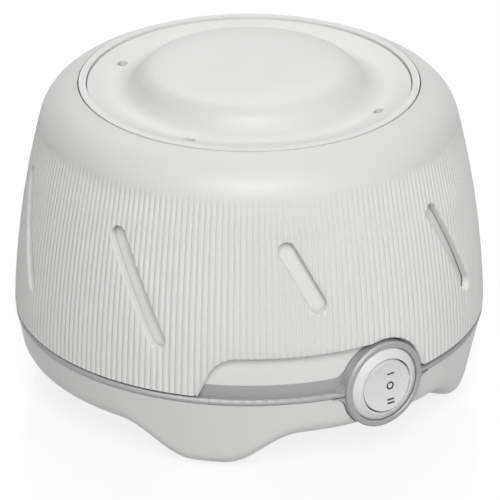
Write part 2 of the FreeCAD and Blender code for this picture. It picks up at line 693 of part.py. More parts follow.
def smooth(t):
    return t * t * (3 - 2 * t)


def bowl_rows(wall, foot):
    """Radius and height down the bowl's line, between the feet or through the middle of a foot.

    wall is how far inside the outer line the row lies. Both lines have as many points, so that
    the surface can pass smoothly from one to the other.
    """
    corner = BASE_CORNER_R - wall
    floor = (FOOT_BOTTOM_Z if foot else BASE_FLOOR_Z) + wall
    flank = (FOOT_FLANK_R if foot else BASE_FLANK_R) - wall
    centre_r, centre_z = flank - corner, floor + corner
    rim_r = BASE_RIM_R - wall
    rows = [(rim_r, BASE_RIM_Z)]
    for t in (0.2, 0.4, 0.6, 0.8):
        rows.append((rim_r + (flank - rim_r) * t, BASE_RIM_Z + (centre_z - BASE_RIM_Z) * t))
    for step in range(5):
        angle = math.radians(-90 * step / 4)
        rows.append((centre_r + corner * math.cos(angle), centre_z + corner * math.sin(angle)))
    inner = FOOT_INNER_R + 0.75 * wall
    rows += [(centre_r + (inner - centre_r) * t, floor) for t in (0.25, 0.5, 0.75, 1.0)]
    root = FOOT_ROOT_R + 0.75 * wall
    for step in range(1, 7):
        t = step / 6
        rows.append((inner + (root - inner) * t, floor + (BASE_FLOOR_Z + wall - floor) * smooth(t)))
    return rows + [(root - 1, BASE_FLOOR_Z + wall), (root - 2, BASE_FLOOR_Z + wall)]


def foot_share(azimuth):
    """1 over a foot and 0 between the feet."""
    pitch = 360.0 / FOOT_COUNT
    away = abs((azimuth - FOOT_FIRST_AZ + pitch / 2) % pitch - pitch / 2)
    t = (FOOT_SPREAD_DEG - away) / (FOOT_SPREAD_DEG - FOOT_FLAT_DEG)
    return smooth(min(1.0, max(0.0, t)))


def bowl_skin(wall):
    """Smooth closed surface drawn by the rows, right round the bowl."""
    plain, foot = bowl_rows(wall, False), bowl_rows(wall, True)
    swell = 3 / (2 + math.cos(2 * math.pi / BOWL_COLUMNS))
    grid = []
    for azimuth in around(BOWL_COLUMNS):
        share = foot_share(azimuth)
        column = [(a[0] + (b[0] - a[0]) * share, a[1] + (b[1] - a[1]) * share) for a, b in zip(plain, foot)]
        grid.append([polar(radius * swell, azimuth, z) for radius, z in column])
    spans = len(plain) - 3
    round_knots, down_knots = list(range(BOWL_COLUMNS + 1)), list(range(spans + 1))
    down_mults = [4] + [1] * (spans - 1) + [4]
    surface = Part.BSplineSurface()
    surface.buildFromPolesMultsKnots(grid, [1] * len(round_knots), down_mults, round_knots, down_knots,
                                     True, False, 3, 3)
    return surface.toShape()


def bowl_solid(wall):
    """Everything under the skin, closed by a flat lid at the rim and at the middle of the floor."""
    side = bowl_skin(wall)
    loops = []
    for edge in side.Edges:
        first, last = edge.FirstParameter, edge.LastParameter
        if abs(edge.valueAt(first).z - edge.valueAt((first + last) / 2).z) < 1e-6:
            loops.append(edge)
    lids = [Part.Face(Part.Wire([edge])) for edge in loops]
    shell = Part.Shell([side] + lids)
    shell.sewShape()
    solid = Part.Solid(shell)
    if solid.Volume < 0:
        solid.reverse()
    return solid


def base_shell():
    outer = bowl_solid(0)
    notch = [rod_y(BEZEL_R + BEZEL_GAP, -FAR, BEZEL_BACK_Y + BEZEL_GAP, 0, BEZEL_Z)]
    for side in (-1, 1):
        notch.append(flare_bar(BEZEL_R + BEZEL_GAP, FLARE_LOW_R - BEZEL_GAP, BASE_RIM_Z, side, False))
    shell = outer.cut(united(notch)).cut(bowl_solid(BASE_WALL))
    posts = [cylinder(BASE_POST_R, FOOT_BOTTOM_Z + 0.4, BASE_RIM_Z, polar(POST_PITCH_R, azimuth))
             for azimuth in around(FOOT_COUNT, FOOT_FIRST_AZ)]
    boss_end = BASE_RIM_R - BASE_WALL - INLET_BOSS_DEPTH
    boss = rod_y(INLET_BOSS_R, boss_end, BASE_RIM_R, 0, INLET_Z).common(outer)
    beside = SPLICE_R + SPLICE_CRADLE_WALL
    cradle_y = (SPLICE_Y + SPLICE_CRADLE[0], SPLICE_Y + SPLICE_CRADLE[1])
    cradle = block((SPLICE_X[1] - beside, SPLICE_X[0] + beside), cradle_y, (BASE_INNER_Z - 1, SPLICE_Z))
    shell = united([shell] + posts + [boss, cradle])
    for x in SPLICE_X:
        shell = shell.cut(rod_y(SPLICE_R + SPLICE_CRADLE_GAP, SPLICE_Y, cradle_y[1] + 2, x, SPLICE_Z))
    for azimuth in around(FOOT_COUNT, FOOT_FIRST_AZ):
        centre = polar(POST_PITCH_R, azimuth)
        shell = shell.cut(cylinder(PAD_R + PAD_CLEARANCE, -1, PAD_T, centre))
        pocket_r = HOUSING_SCREW_HEAD_R + HOUSING_SCREW_POCKET_GAP
        shell = shell.cut(cylinder(pocket_r, -1, HOUSING_SCREW_SEAT_Z, centre))
        shell = shell.cut(cylinder(HOUSING_SCREW_R + SCREW_CLEARANCE, -1, BASE_RIM_Z + 1, centre))
    return shell.cut(rod_y(INLET_R, boss_end - 1, BASE_RIM_R + 1, 0, INLET_Z))


def foot_pads():
    return Part.makeCompound([cylinder(PAD_R, 0, PAD_T, polar(POST_PITCH_R, azimuth))
                              for azimuth in around(FOOT_COUNT, FOOT_FIRST_AZ)])


# Trim ring

def drum_foot_r():
    return skin_radius(COLLAR_WALL + DRUM_GAP, TRIM_WALL_TOP_Z)


def trim_ring():
    wall_r = drum_foot_r()
    inner_r = wall_r - DRUM_WALL
    spigot_r = BASE_RIM_R - BASE_WALL - TRIM_SPIGOT_GAP
    spigot_low = BASE_RIM_Z - TRIM_SPIGOT_DEPTH
    edge_r, edge_low, edge_high = TRIM_LIP_R - TRIM_EDGE, BASE_RIM_Z + TRIM_EDGE, TRIM_LIP_Z - TRIM_EDGE
    section = [(edge_r, TRIM_LIP_Z), (wall_r, TRIM_LIP_Z), (wall_r, TRIM_WALL_TOP_Z),
               (inner_r, TRIM_WALL_TOP_Z), (inner_r, BASE_RIM_Z + TRIM_FLOOR_T),
               (spigot_r - TRIM_SPIGOT_T, BASE_RIM_Z), (spigot_r - TRIM_SPIGOT_T, spigot_low),
               (spigot_r, spigot_low), (spigot_r, BASE_RIM_Z), (edge_r, BASE_RIM_Z)]
    edges = lines([Vector(r, 0, z) for r, z in section])
    edges += lines([Vector(TRIM_LIP_R, 0, edge_low), Vector(TRIM_LIP_R, 0, edge_high)])
    edges += [round_edge(edge_r, edge_low, TRIM_EDGE, -90), round_edge(edge_r, edge_high, TRIM_EDGE, 0)]
    band = revolved(edges)
    lip_zone = tube(TRIM_LIP_R, inner_r, 0, FAR)
    wall_zone = tube(wall_r, inner_r, 0, FAR)
    flares = []
    for side in (-1, 1):
        flares.append(flare_bar(BEZEL_R, FLARE_LOW_R, BASE_RIM_Z, side, False).common(lip_zone))
        flares.append(flare_bar(BEZEL_R, FLARE_LIP_R, TRIM_LIP_Z, side, True).common(lip_zone))
        flares.append(flare_bar(BEZEL_R, FLARE_TOP_R, TRIM_WALL_TOP_Z, side, True).common(wall_zone))
    band = united([band] + flares)
    for azimuth in LUG_AZIMUTHS:
        band = band.cut(lug_groove(azimuth))
    band = band.cut(rod_y(BEZEL_R - BEZEL_WALL / 2, -FAR, -DRUM_RIM_OUTER_R, 0, BEZEL_Z))
    return united([band, bezel()])


def lug_groove(azimuth):
    half = LUG_WIDTH_DEG / 2 + LUG_GAP
    reach = skin_radius(COLLAR_WALL, COLLAR_BOTTOM_Z) - LUG_REACH - LUG_GAP
    low = COLLAR_BOTTOM_Z + LUG_RISE - LUG_GAP
    high = low + LUG_HEIGHT + 2 * LUG_GAP
    far_end = azimuth + half + COLLAR_TRAVEL
    return sector(azimuth - half, far_end, reach, TRIM_LIP_R - LUG_GROOVE_WALL, low, high)


def bezel():
    """The round ring that holds the switch, turned about the switch's own axis."""
    bore = SWITCH_FLANGE_R + SWITCH_FIT
    seat = SWITCH_BARREL_R + BARREL_FIT
    inner = BEZEL_R - BEZEL_WALL
    seat_back = SWITCH_SEAT_Y + BEZEL_SEAT_T
    face = [(bore, BEZEL_FACE_Y + BEZEL_CHAMFER), (bore + BEZEL_CHAMFER, BEZEL_FACE_Y),
            (BEZEL_R - BEZEL_EDGE, BEZEL_FACE_Y), (BEZEL_R, BEZEL_FACE_Y + BEZEL_EDGE)]
    behind = [(BEZEL_R, BEZEL_BACK_Y), (inner, BEZEL_BACK_Y), (inner, seat_back), (seat, seat_back),
              (seat, SWITCH_SEAT_Y), (bore, SWITCH_SEAT_Y)]
    return turned_about_y(face + behind, BEZEL_Z)


# Switch

def terminal_heights():
    return [BEZEL_Z + TERMINAL_PITCH * i for i in (-1, 0, 1)]


def switch_terminals():
    half = TERMINAL_WIDTH / 2
    tabs = []
    for i, z in enumerate(terminal_heights()):
        inside = POCKET_FLOOR_Y - (PIVOT_TERMINAL_IN if i == 1 else TERMINAL_IN)
        tabs.append(block((-half, half), (inside, TERMINAL_END_Y), (z - TERMINAL_T / 2, z + TERMINAL_T / 2)))
    return Part.makeCompound(tabs)


def switch_body():
    lip = SWITCH_POCKET_R
    pocket = [(0, POCKET_FLOOR_Y), (lip, POCKET_FLOOR_Y), (lip, SWITCH_FACE_Y), (lip + SWITCH_EDGE, SWITCH_FACE_Y)]
    flange = [(SWITCH_FLANGE_R - SWITCH_EDGE, SWITCH_EDGE_Y - SWITCH_EDGE), (SWITCH_FLANGE_R, SWITCH_EDGE_Y),
              (SWITCH_FLANGE_R, SWITCH_SEAT_Y)]
    barrel = [(SWITCH_BARREL_R, SWITCH_SEAT_Y), (SWITCH_BARREL_R, SWITCH_BACK_Y), (0, SWITCH_BACK_Y)]
    body = turned_about_y(pocket + flange + barrel, BEZEL_Z)
    snap_y = SWITCH_SEAT_Y + BEZEL_SEAT_T + SNAP_GAP
    for side in (-1, 1):
        snap_x = (side * SWITCH_BARREL_R - SNAP_REACH, side * SWITCH_BARREL_R + SNAP_REACH)
        body = united([body, block(snap_x, (snap_y, snap_y + SNAP_LENGTH),
                                   (BEZEL_Z - SNAP_HALF_WIDTH, BEZEL_Z + SNAP_HALF_WIDTH))])
    pin_hole = ROCKER_PIN_REACH + 2 * ROCKER_PIN_INSET
    body = body.cut(rod_x(ROCKER_PIN_R + RUNNING_CLEARANCE, -pin_hole, pin_hole, ROCKER_PIVOT_Y, BEZEL_Z))
    return body.cut(switch_terminals())


def switch_rocker():
    """A ball-sided button with a dished front, on two stub pins across the switch."""
    ball = Part.makeSphere(ROCKER_R, Vector(0, ROCKER_PIVOT_Y, BEZEL_Z), Vector(0, 1, 0))
    front = SWITCH_FACE_Y - ROCKER_PROUD
    back = ROCKER_PIVOT_Y + ROCKER_DEPTH
    button = ball.common(rod_y(ROCKER_R + 1, front, back, 0, BEZEL_Z))
    dish_half = math.sqrt(ROCKER_R ** 2 - (ROCKER_PIVOT_Y - front) ** 2) - ROCKER_EDGE
    dish_r = (dish_half ** 2 + ROCKER_DISH ** 2) / (2 * ROCKER_DISH)
    button = button.cut(rod_x(dish_r, -FAR, FAR, front + ROCKER_DISH - dish_r, BEZEL_Z))
    pins = rod_x(ROCKER_PIN_R, -ROCKER_PIN_REACH, ROCKER_PIN_REACH, ROCKER_PIVOT_Y, BEZEL_Z)
    stem = rod_y(PLUNGER_R + STEM_WALL, ROCKER_PIVOT_Y + 1, PLUNGER_TIP_Y - 2, 0, BEZEL_Z)
    button = united([button, pins, stem])
    return button.cut(rod_y(PLUNGER_R + ROCKER_PIN_INSET, back - SPRING_POCKET, PLUNGER_TIP_Y, 0, BEZEL_Z))


def plunger():
    centre_y = PLUNGER_TIP_Y - PLUNGER_R
    ball = Part.makeSphere(PLUNGER_R, Vector(0, centre_y, BEZEL_Z))
    return united([ball, rod_y(PLUNGER_R, PLUNGER_TIP_Y - PLUNGER_LENGTH, centre_y, 0, BEZEL_Z)])


def plunger_spring():
    """A coil spring between the plunger and the bottom of its bore."""
    wire = SPRING_WIRE_R
    coil_r = PLUNGER_R - wire - RUNNING_CLEARANCE
    low = ROCKER_PIVOT_Y + ROCKER_DEPTH - SPRING_POCKET + wire
    high = PLUNGER_TIP_Y - PLUNGER_LENGTH - wire
    turns = 3
    helix = Part.makeHelix((high - low) / turns, high - low, coil_r)
    section = Part.Wire(Part.Circle(Vector(coil_r, 0, 0), Vector(0, 1, 0), wire).toShape())
    spring = Part.Wire(helix).makePipeShell([section], True, True)
    spring.rotate(Vector(0, 0, 0), Vector(1, 0, 0), -90)
    spring.translate(Vector(0, low, BEZEL_Z))
    return spring


def contact_blade():
    half = TERMINAL_PITCH + BLADE_OVERHANG
    return block((-BLADE_HALF_WIDTH, BLADE_HALF_WIDTH), (BLADE_Y, BLADE_Y + TERMINAL_T),
                 (BEZEL_Z - half, BEZEL_Z + half))


# Motor deck and its fixings

def motor_deck():
    deck = cylinder(DECK_R, DECK_Z, DECK_Z + DECK_T)
    deck = deck.cut(cylinder(DECK_CUP_HOLE_R, 0, FAR))
    for azimuth in around(FOOT_COUNT, FOOT_FIRST_AZ):
        hole = cylinder(HOUSING_SCREW_R + SCREW_CLEARANCE, 0, FAR, polar(POST_PITCH_R, azimuth))
        deck = deck.cut(hole)
    for x in (-MOTOR_SCREW_X, MOTOR_SCREW_X):
        deck = deck.cut(cylinder(GROMMET_HOLE_R, 0, FAR, Vector(x, 0, 0)))
    bay = BEZEL_R + DECK_BAY_GAP
    deck = deck.cut(block((-bay, bay), (-FAR, SWITCH_BACK_Y + DECK_BAY_DEPTH), (0, FAR)))
    half, reach = DECK_WIRE_BAY
    deck = deck.cut(block((-half, half), (-FAR, TERMINAL_END_Y + reach), (0, FAR)))
    half, reach = LEAD_HOLE_HALF
    return deck.cut(block((-half, half), (LEAD_HOLE_Y - reach, LEAD_HOLE_Y + reach), (0, FAR)))


def paired(maker):
    """One solid at each of the two motor screws."""
    return Part.makeCompound([maker(Vector(x, 0, 0)) for x in (-MOTOR_SCREW_X, MOTOR_SCREW_X)])


def grommet(at):
    low, high = DECK_Z - GROMMET_FLANGE_T, DECK_Z + DECK_T + GROMMET_FLANGE_T
    body = united([cylinder(GROMMET_HOLE_R, low, high, at), cylinder(GROMMET_FLANGE_R, low, DECK_Z, at),
                   cylinder(GROMMET_FLANGE_R, DECK_Z + DECK_T, high, at)])
    return body.cut(cylinder(GROMMET_BORE_R, 0, FAR, at))


def spacer_low():
    return DECK_Z - GROMMET_FLANGE_T - SPACER_BELOW


def spacer(at):
    step = DECK_Z + DECK_T + GROMMET_FLANGE_T
    body = united([cylinder(MOTOR_SCREW_R + MOTOR_SPACER_WALL, step, STACK_Z - BRACKET_T, at),
                   cylinder(GROMMET_BORE_R - BUSH_FIT, spacer_low(), step, at)])
    return body.cut(cylinder(MOTOR_SCREW_R + MOTOR_SCREW_GAP, 0, FAR, at))


def washer(at):
    return tube(WASHER_R, MOTOR_SCREW_R + MOTOR_SCREW_GAP, spacer_low() - WASHER_T, spacer_low(), at)


def nut(at):
    low = spacer_low() - WASHER_T - NUT_H
    corner_r = NUT_HALF / math.cos(math.radians(30))
    corners = []
    for angle in around(6) + [0]:
        turn = math.radians(angle)
        corners.append(Vector(at.x + corner_r * math.cos(turn), at.y + corner_r * math.sin(turn), low))
    body = Part.Face(Part.Wire(lines(corners))).extrude(Vector(0, 0, NUT_H))
    return body.cut(cylinder(MOTOR_SCREW_R + NUT_CLEAR, 0, FAR, at))


def motor_screw(at):
    seat = STACK_TOP_Z + BRACKET_T
    end = DECK_Z - GROMMET_FLANGE_T - MOTOR_SCREW_END
    head = cylinder(MOTOR_SCREW_HEAD_R, seat, seat + MOTOR_SCREW_HEAD_H, at)
    return united([cylinder(MOTOR_SCREW_R, end, seat + 1, at), head])


# Stator

def shading_points():
    return [Vector(x, y, 0) for x, y in SHADING_POINTS]


def stator_core():
    low, high = STACK_Z, STACK_TOP_Z
    half, pole = STATOR_HALF_WIDTH, STATOR_POLE_Y
    parts = [block((-half, half), (-pole, pole), (low, high))]
    leg_end = CORE_BAR_Y + CORE_BAR_W
    for x in ((-half, -half + STATOR_LEG_WIDTH), (half - STATOR_LEG_WIDTH, half)):
        parts.append(block(x, (pole - 1, leg_end), (low, high)))
    core = united(parts).cut(cylinder(STATOR_BORE_R, 0, FAR))
    for x in (-MOTOR_SCREW_X, MOTOR_SCREW_X):
        core = core.cut(cylinder(MOTOR_SCREW_R + MOTOR_SCREW_GAP, 0, FAR, Vector(x, 0, 0)))
    for point in shading_points():
        for side in (1, -1):
            core = core.cut(cylinder(SHADING_WIRE_R + SHADING_FIT, 0, FAR, point * side))
    return core


def core_bar():
    reach = STATOR_HALF_WIDTH - STATOR_LEG_WIDTH
    return block((-reach, reach), (CORE_BAR_Y, CORE_BAR_Y + CORE_BAR_W), (STACK_Z, STACK_TOP_Z))


def shading_rings():
    """Two closed copper loops, each round one pole's tip."""
    rings = []
    over = SHADING_WIRE_R + SHADING_STAND_OFF
    for side in (1, -1):
        a, b = (point * side for point in shading_points())
        low, high = STACK_Z - over, STACK_TOP_Z + over
        bars = [cylinder(SHADING_WIRE_R, low, high, p) for p in (a, b)]
        for z in (low, high):
            start = Vector(a.x, a.y, z)
            bars.append(Part.makeCylinder(SHADING_WIRE_R, (b - a).Length, start, b - a))
            bars += [Part.makeSphere(SHADING_WIRE_R, Vector(p.x, p.y, z)) for p in (a, b)]
        rings.append(united(bars))
    return Part.makeCompound(rings)


def coil_bobbin():
    fit = BOBBIN_FIT
    y = (CORE_BAR_Y - fit, CORE_BAR_Y + CORE_BAR_W + fit)
    z = (STACK_Z - fit, STACK_TOP_Z + fit)
    reach = STATOR_HALF_WIDTH - STATOR_LEG_WIDTH - BOBBIN_END_GAP
    wall, deep = BOBBIN_WALL, BOBBIN_WALL + COIL_DEPTH
    body = block((-reach, reach), (y[0] - wall, y[1] + wall), (z[0] - wall, z[1] + wall))
    flanges = [block(x, (y[0] - deep, y[1] + deep), (z[0] - deep, z[1] + deep))
               for x in ((-reach, -reach + BOBBIN_FLANGE_T), (reach - BOBBIN_FLANGE_T, reach))]
    return united([body] + flanges).cut(block((-reach - 1, reach + 1), y, z))


def coil_winding():
    reach = STATOR_HALF_WIDTH - STATOR_LEG_WIDTH - BOBBIN_END_GAP - BOBBIN_FLANGE_T
    deep = BOBBIN_FIT + BOBBIN_WALL + COIL_DEPTH - COIL_UNDER_FLANGE
    body = block((-reach, reach), (CORE_BAR_Y - deep, COIL_BACK_Y), (STACK_Z - deep, STACK_TOP_Z + deep))
    corners = [e for e in body.Edges if abs(e.tangentAt(e.FirstParameter).x) > 0.9]
    body = body.makeFillet(COIL_CORNER_R, corners)
    inside = BOBBIN_FIT + BOBBIN_WALL
    y = (CORE_BAR_Y - inside, CORE_BAR_Y + CORE_BAR_W + inside)
    return body.cut(block((-reach - 1, reach + 1), y, (STACK_Z - inside, STACK_TOP_Z + inside)))


# Bearing brackets. Each is drawn for the upper side and mirrored through the stack's middle
# for the lower side.

def mirrored(shape):
    return shape.mirror(Vector(0, 0, (STACK_Z + STACK_TOP_Z) / 2), Vector(0, 0, 1))


def bracket():
    half = BRACKET_HALF_WIDTH
    foot, knee = STATOR_HALF_WIDTH - BRACKET_FOOT_INSET, STATOR_HALF_WIDTH - BRACKET_KNEE_INSET
    flat = STACK_TOP_Z + BRACKET_RISE
    outline = [(-foot, STACK_TOP_Z), (-knee, STACK_TOP_Z), (-knee, flat), (knee, flat), (knee, STACK_TOP_Z),
               (foot, STACK_TOP_Z), (foot, STACK_TOP_Z + BRACKET_T), (knee + BRACKET_T, STACK_TOP_Z + BRACKET_T),
               (knee + BRACKET_T, flat + BRACKET_T), (-knee - BRACKET_T, flat + BRACKET_T),
               (-knee - BRACKET_T, STACK_TOP_Z + BRACKET_T), (-foot, STACK_TOP_Z + BRACKET_T)]
    corners = [Vector(x, -half, z) for x, z in outline]
    strap = Part.Face(Part.Wire(lines(corners + corners[:1]))).extrude(Vector(0, 2 * half, 0))
    cup = cylinder(CUP_R, flat, BEARING_TOP_Z)
    body = united([strap, cup]).cut(cylinder(SHAFT_R + CUP_HOLE_GAP, 0, FAR))
    body = body.cut(cylinder(BUSH_R + BUSH_FIT, BUSH_Z, FAR))
    for x in (-MOTOR_SCREW_X, MOTOR_SCREW_X):
        body = body.cut(cylinder(MOTOR_SCREW_R + MOTOR_SCREW_GAP, 0, FAR, Vector(x, 0, 0)))
    return body


def bush():
    return tube(BUSH_R, SHAFT_R + BUSH_FIT, BUSH_Z, BUSH_Z + BUSH_H)


def oil_felt():
    return tube(BUSH_R, SHAFT_R + FELT_GAP, BUSH_Z + BUSH_H, BEARING_TOP_Z)


def bearing_cap():
    return tube(CUP_R, SHAFT_R + BEARING_CAP_GAP, BEARING_TOP_Z, BEARING_TOP_Z + BEARING_CAP_T)


def both(shape):
    return Part.makeCompound([shape, mirrored(shape)])


# Rotor

def rotor_core():
    return tube(ROTOR_R, SHAFT_R, STACK_Z, STACK_TOP_Z)


def rotor_end_rings():
    return both(tube(ROTOR_R - END_RING_INSET, END_RING_BORE_R, STACK_TOP_Z, STACK_TOP_Z + END_RING_T))


def rotor_spacers():
    return both(tube(SHAFT_R + SPACER_WALL, SHAFT_R, STACK_TOP_Z, BUSH_Z - THRUST_PLAY - THRUST_WASHER_T))


def thrust_washers():
    high = BUSH_Z - THRUST_PLAY
    return both(tube(SHAFT_R + SPACER_WALL, SHAFT_R + BUSH_FIT, high - THRUST_WASHER_T, high))


def motor_shaft():
    return cylinder(SHAFT_R, STACK_Z - (BEARING_TOP_Z - STACK_TOP_Z), SHAFT_TOP_Z)


def fan_blade(azimuth):
    half = FAN_BLADE_T / 2
    blade = block((-half, half), (-FAN_R + FAN_BLADE_INSET, -FAN_BLADE_INNER_R), (FAN_PLATE_Z, FAN_TOP_Z))
    slope = block((-half - 1, half + 1), (-FAR, 0), (0, FAR))
    slope.rotate(Vector(0, 0, 0), Vector(1, 0, 0), -FAN_BLADE_SLOPE)
    slope.translate(Vector(0, -FAN_BLADE_INNER_R - FAN_BLADE_SLOPE_IN, FAN_TOP_Z))
    return turned(blade.cut(slope), azimuth)


def fan():
    plate = cylinder(FAN_R, FAN_PLATE_Z, FAN_PLATE_Z + FAN_PLATE_T)
    hub = cylinder(FAN_HUB_R, FAN_PLATE_Z, FAN_TOP_Z)
    wheel = united([plate, hub] + [fan_blade(azimuth) for azimuth in FAN_BLADE_AZIMUTHS])
    return wheel.cut(cylinder(SHAFT_R, 0, FAR))


def fan_clip():
    return tube(FAN_CLIP_R, SHAFT_R, FAN_TOP_Z, FAN_TOP_Z + FAN_CLIP_T)


# Fasteners and wiring

def housing_screw(azimuth):
    centre = polar(POST_PITCH_R, azimuth)
    seat = HOUSING_SCREW_SEAT_Z
    head = cylinder(HOUSING_SCREW_HEAD_R, seat - HOUSING_SCREW_HEAD_H, seat, centre)
    half, side, depth = DRIVER_SLOT
    face = seat - HOUSING_SCREW_HEAD_H
    slot = block((centre.x - half, centre.x + half), (centre.y - side, centre.y + side), (face - 1, face + depth))
    shank = cylinder(HOUSING_SCREW_R, seat - 0.5, seat + HOUSING_SCREW_LENGTH, centre)
    return united([head.cut(slot), shank])


def housing_screws():
    return Part.makeCompound([housing_screw(azimuth) for azimuth in around(FOOT_COUNT, FOOT_FIRST_AZ)])


def splice_caps():
    caps = []
    for x in SPLICE_X:
        cap = rod_y(SPLICE_R, SPLICE_Y, SPLICE_Y + SPLICE_LENGTH, x, SPLICE_Z)
        caps.append(cap.cut(rod_y(SPLICE_BORE_R, SPLICE_Y - 1, SPLICE_Y + SPLICE_BORE_DEPTH, x, SPLICE_Z)))
    return Part.makeCompound(caps)


def lead(name, points):
    """A round lead along straight runs joined by tangent arcs. Its radii are printed."""
    corners = [Vector(*p) for p in points]
    edges, radii, start = [], [], corners[0]
    for before, corner, after in zip(corners, corners[1:], corners[2:]):
        a, b = (before - corner), (after - corner)
        turn = math.pi - a.getAngle(b)
        cut = LEAD_BEND_SHARE * min(a.Length, b.Length)
        radius = cut / math.tan(turn / 2)
        a.normalize()
        b.normalize()
        first, last = corner + a * cut, corner + b * cut
        inward = (a + b).normalize()
        centre = corner + inward * math.hypot(radius, cut)
        middle = centre - inward * radius
        edges += lines([start, first]) + [Part.Arc(first, middle, last).toShape()]
        radii.append(round(radius, 1))
        start = last
    edges += lines([start, corners[-1]])
    path = Part.Wire(edges)
    normal = (corners[1] - corners[0])
    section = Part.Wire(Part.Circle(corners[0], normal, LEAD_R).toShape())
    solid = path.makePipeShell([section], True, False)
    expected = math.pi * LEAD_R ** 2 * path.Length
    print(name, "radii", radii, "volume", round(solid.Volume, 1), "of", round(expected, 1))
    return solid


def lead_routes():
    tab, low, over = TERMINAL_END_Y, BASE_INNER_Z + LEAD_FLOOR_GAP, BASE_INNER_Z + LEAD_CROSSING_GAP
    start, back, hole = tab + LEAD_END_GAP, COIL_BACK_Y + LEAD_END_GAP, LEAD_HOLE_Y
    bottom, middle, top = terminal_heights()
    up, bend, coil = DECK_Z + 5.4, STACK_Z - 0.5, STACK_Z + 1.5
    return {
        "high_lead": [(0, start, top), (0.6, tab + 7, top - 0.8), (3, tab + 13, top - 6), (5.2, tab + 19, low + 3),
                      (6.6, -18, low), (7.4, -1, low + 0.3), (6.8, 17, low - 0.2), (7.2, 35, low),
                      (7, 46, low + 0.8), (7, hole - 1, low + 5.5), (7, hole, up), (7, hole - 3, bend),
                      (7, back, coil)],
        "low_lead": [(0, start, bottom), (-0.2, tab + 8, bottom - 0.4), (0.2, tab + 20, low), (-0.4, -11, low + 0.2),
                     (0.4, 5, low), (-0.4, 21, low + 0.2), (0.2, 37, low),
                     (0, 46, low + 0.8), (0, hole - 1, low + 5.5), (0, hole, up), (0, hole - 3, bend),
                     (0, back, coil)],
        "line_lead": [(0, start, middle), (-0.8, tab + 7, middle - 0.8), (-3.2, tab + 13, middle - 4.2),
                      (-6, tab + 21, low + 0.2), (-9.2, -13, low - 0.2), (-11, 3, low), (-12.2, 19, low - 0.3),
                      (-13.8, 33, SPLICE_Z), (SPLICE_X[0], SPLICE_Y + 4, SPLICE_Z)],
        "neutral_lead": [(-7, back, coil), (-7, hole - 3, bend), (-7, hole, up), (-7.4, hole, DECK_Z + 0.8),
                         (-8.2, hole - 4.4, over), (-9.4, 41, over), (-11.4, 29, over), (-17, 20, over - 0.3),
                         (-26, 20, over - 1.6), (-28.4, 29, low + 0.4), (-22.8, 38, SPLICE_Z),
                         (SPLICE_X[1], SPLICE_Y + 4, SPLICE_Z)],
    }


def pieces():
    shapes = {
        "tone_collar": tone_collar(), "sound_drum": sound_drum(), "tone_cap": tone_cap(),
        "cap_felt": cap_felt(), "cap_retainer": cap_retainer(), "cap_screw": cap_screw(),
        "trim_ring": trim_ring(), "base_shell": base_shell(), "foot_pads": foot_pads(),
        "housing_screws": housing_screws(), "motor_deck": motor_deck(),
        "switch_body": switch_body(), "switch_rocker": switch_rocker(), "switch_terminals": switch_terminals(),
        "contact_blade": contact_blade(), "plunger": plunger(), "plunger_spring": plunger_spring(),
        "mount_grommets": paired(grommet), "mount_spacers": paired(spacer), "motor_washers": paired(washer),
        "motor_nuts": paired(nut), "motor_screws": paired(motor_screw),
        "stator_core": stator_core(), "core_bar": core_bar(), "shading_rings": shading_rings(),
        "coil_bobbin": coil_bobbin(), "coil_winding": coil_winding(),
        "upper_bracket": bracket(), "lower_bracket": mirrored(bracket()),
        "bearing_bushes": both(bush()), "oil_felts": both(oil_felt()), "bearing_caps": both(bearing_cap()),
        "rotor_core": rotor_core(), "rotor_end_rings": rotor_end_rings(), "rotor_spacers": rotor_spacers(),
        "thrust_washers": thrust_washers(), "motor_shaft": motor_shaft(), "fan": fan(), "fan_clip": fan_clip(),
        "splice_caps": splice_caps(),
    }
    for name, points in lead_routes().items():
        shapes[name] = lead(name, points)
    return shapes


os.makedirs("parts", exist_ok=True)
for node, shape in pieces().items():
    print(node, "solids", len(shape.Solids), "volume", round(shape.Volume, 2), "valid", shape.isValid())
    shape.exportStep("parts/" + node + ".step")
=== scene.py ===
# %% [markdown]
# # A round sound machine, from frame to finish
# The machine is a small drum with a fan inside. A ribbed outer collar and a domed cap turn over
# slots in the drum to change the sound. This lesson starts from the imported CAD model, replaces the
# parts that everyone sees with finer meshes, and gives every part a material of its own.

# %% Load the frame
import json
import math

import bmesh
import bpy
from mathutils import Matrix, Vector


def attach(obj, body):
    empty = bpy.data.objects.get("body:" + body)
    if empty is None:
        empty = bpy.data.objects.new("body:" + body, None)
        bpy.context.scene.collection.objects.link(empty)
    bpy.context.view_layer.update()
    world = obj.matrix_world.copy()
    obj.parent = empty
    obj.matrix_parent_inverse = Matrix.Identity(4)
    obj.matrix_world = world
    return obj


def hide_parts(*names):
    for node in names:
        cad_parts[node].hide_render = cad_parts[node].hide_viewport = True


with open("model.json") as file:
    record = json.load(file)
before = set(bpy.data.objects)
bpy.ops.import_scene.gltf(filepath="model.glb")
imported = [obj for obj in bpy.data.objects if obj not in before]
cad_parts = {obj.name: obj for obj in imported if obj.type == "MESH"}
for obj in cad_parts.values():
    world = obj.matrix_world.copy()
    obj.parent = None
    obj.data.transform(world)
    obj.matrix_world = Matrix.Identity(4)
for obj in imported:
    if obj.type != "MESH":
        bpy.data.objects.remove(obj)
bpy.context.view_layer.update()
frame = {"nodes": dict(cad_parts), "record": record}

# %% [markdown]
# ## Units and small helpers
# The sizes below are written in millimetres, because that is how such a housing is drawn, and
# Blender works in metres. `polar` counts an azimuth in degrees from the switch, which faces -Y,
# counter-clockwise from above. Every mesh gets its name, its faces and its shading in one place.

# %% Helpers for meshes
MM = 0.001
WELD = 0.002 * MM
SHARP_DEGREES = 40


def polar(radius, azimuth, z):
    angle = math.radians(azimuth)
    return Vector((radius * math.sin(angle), -radius * math.cos(angle), z)) * MM


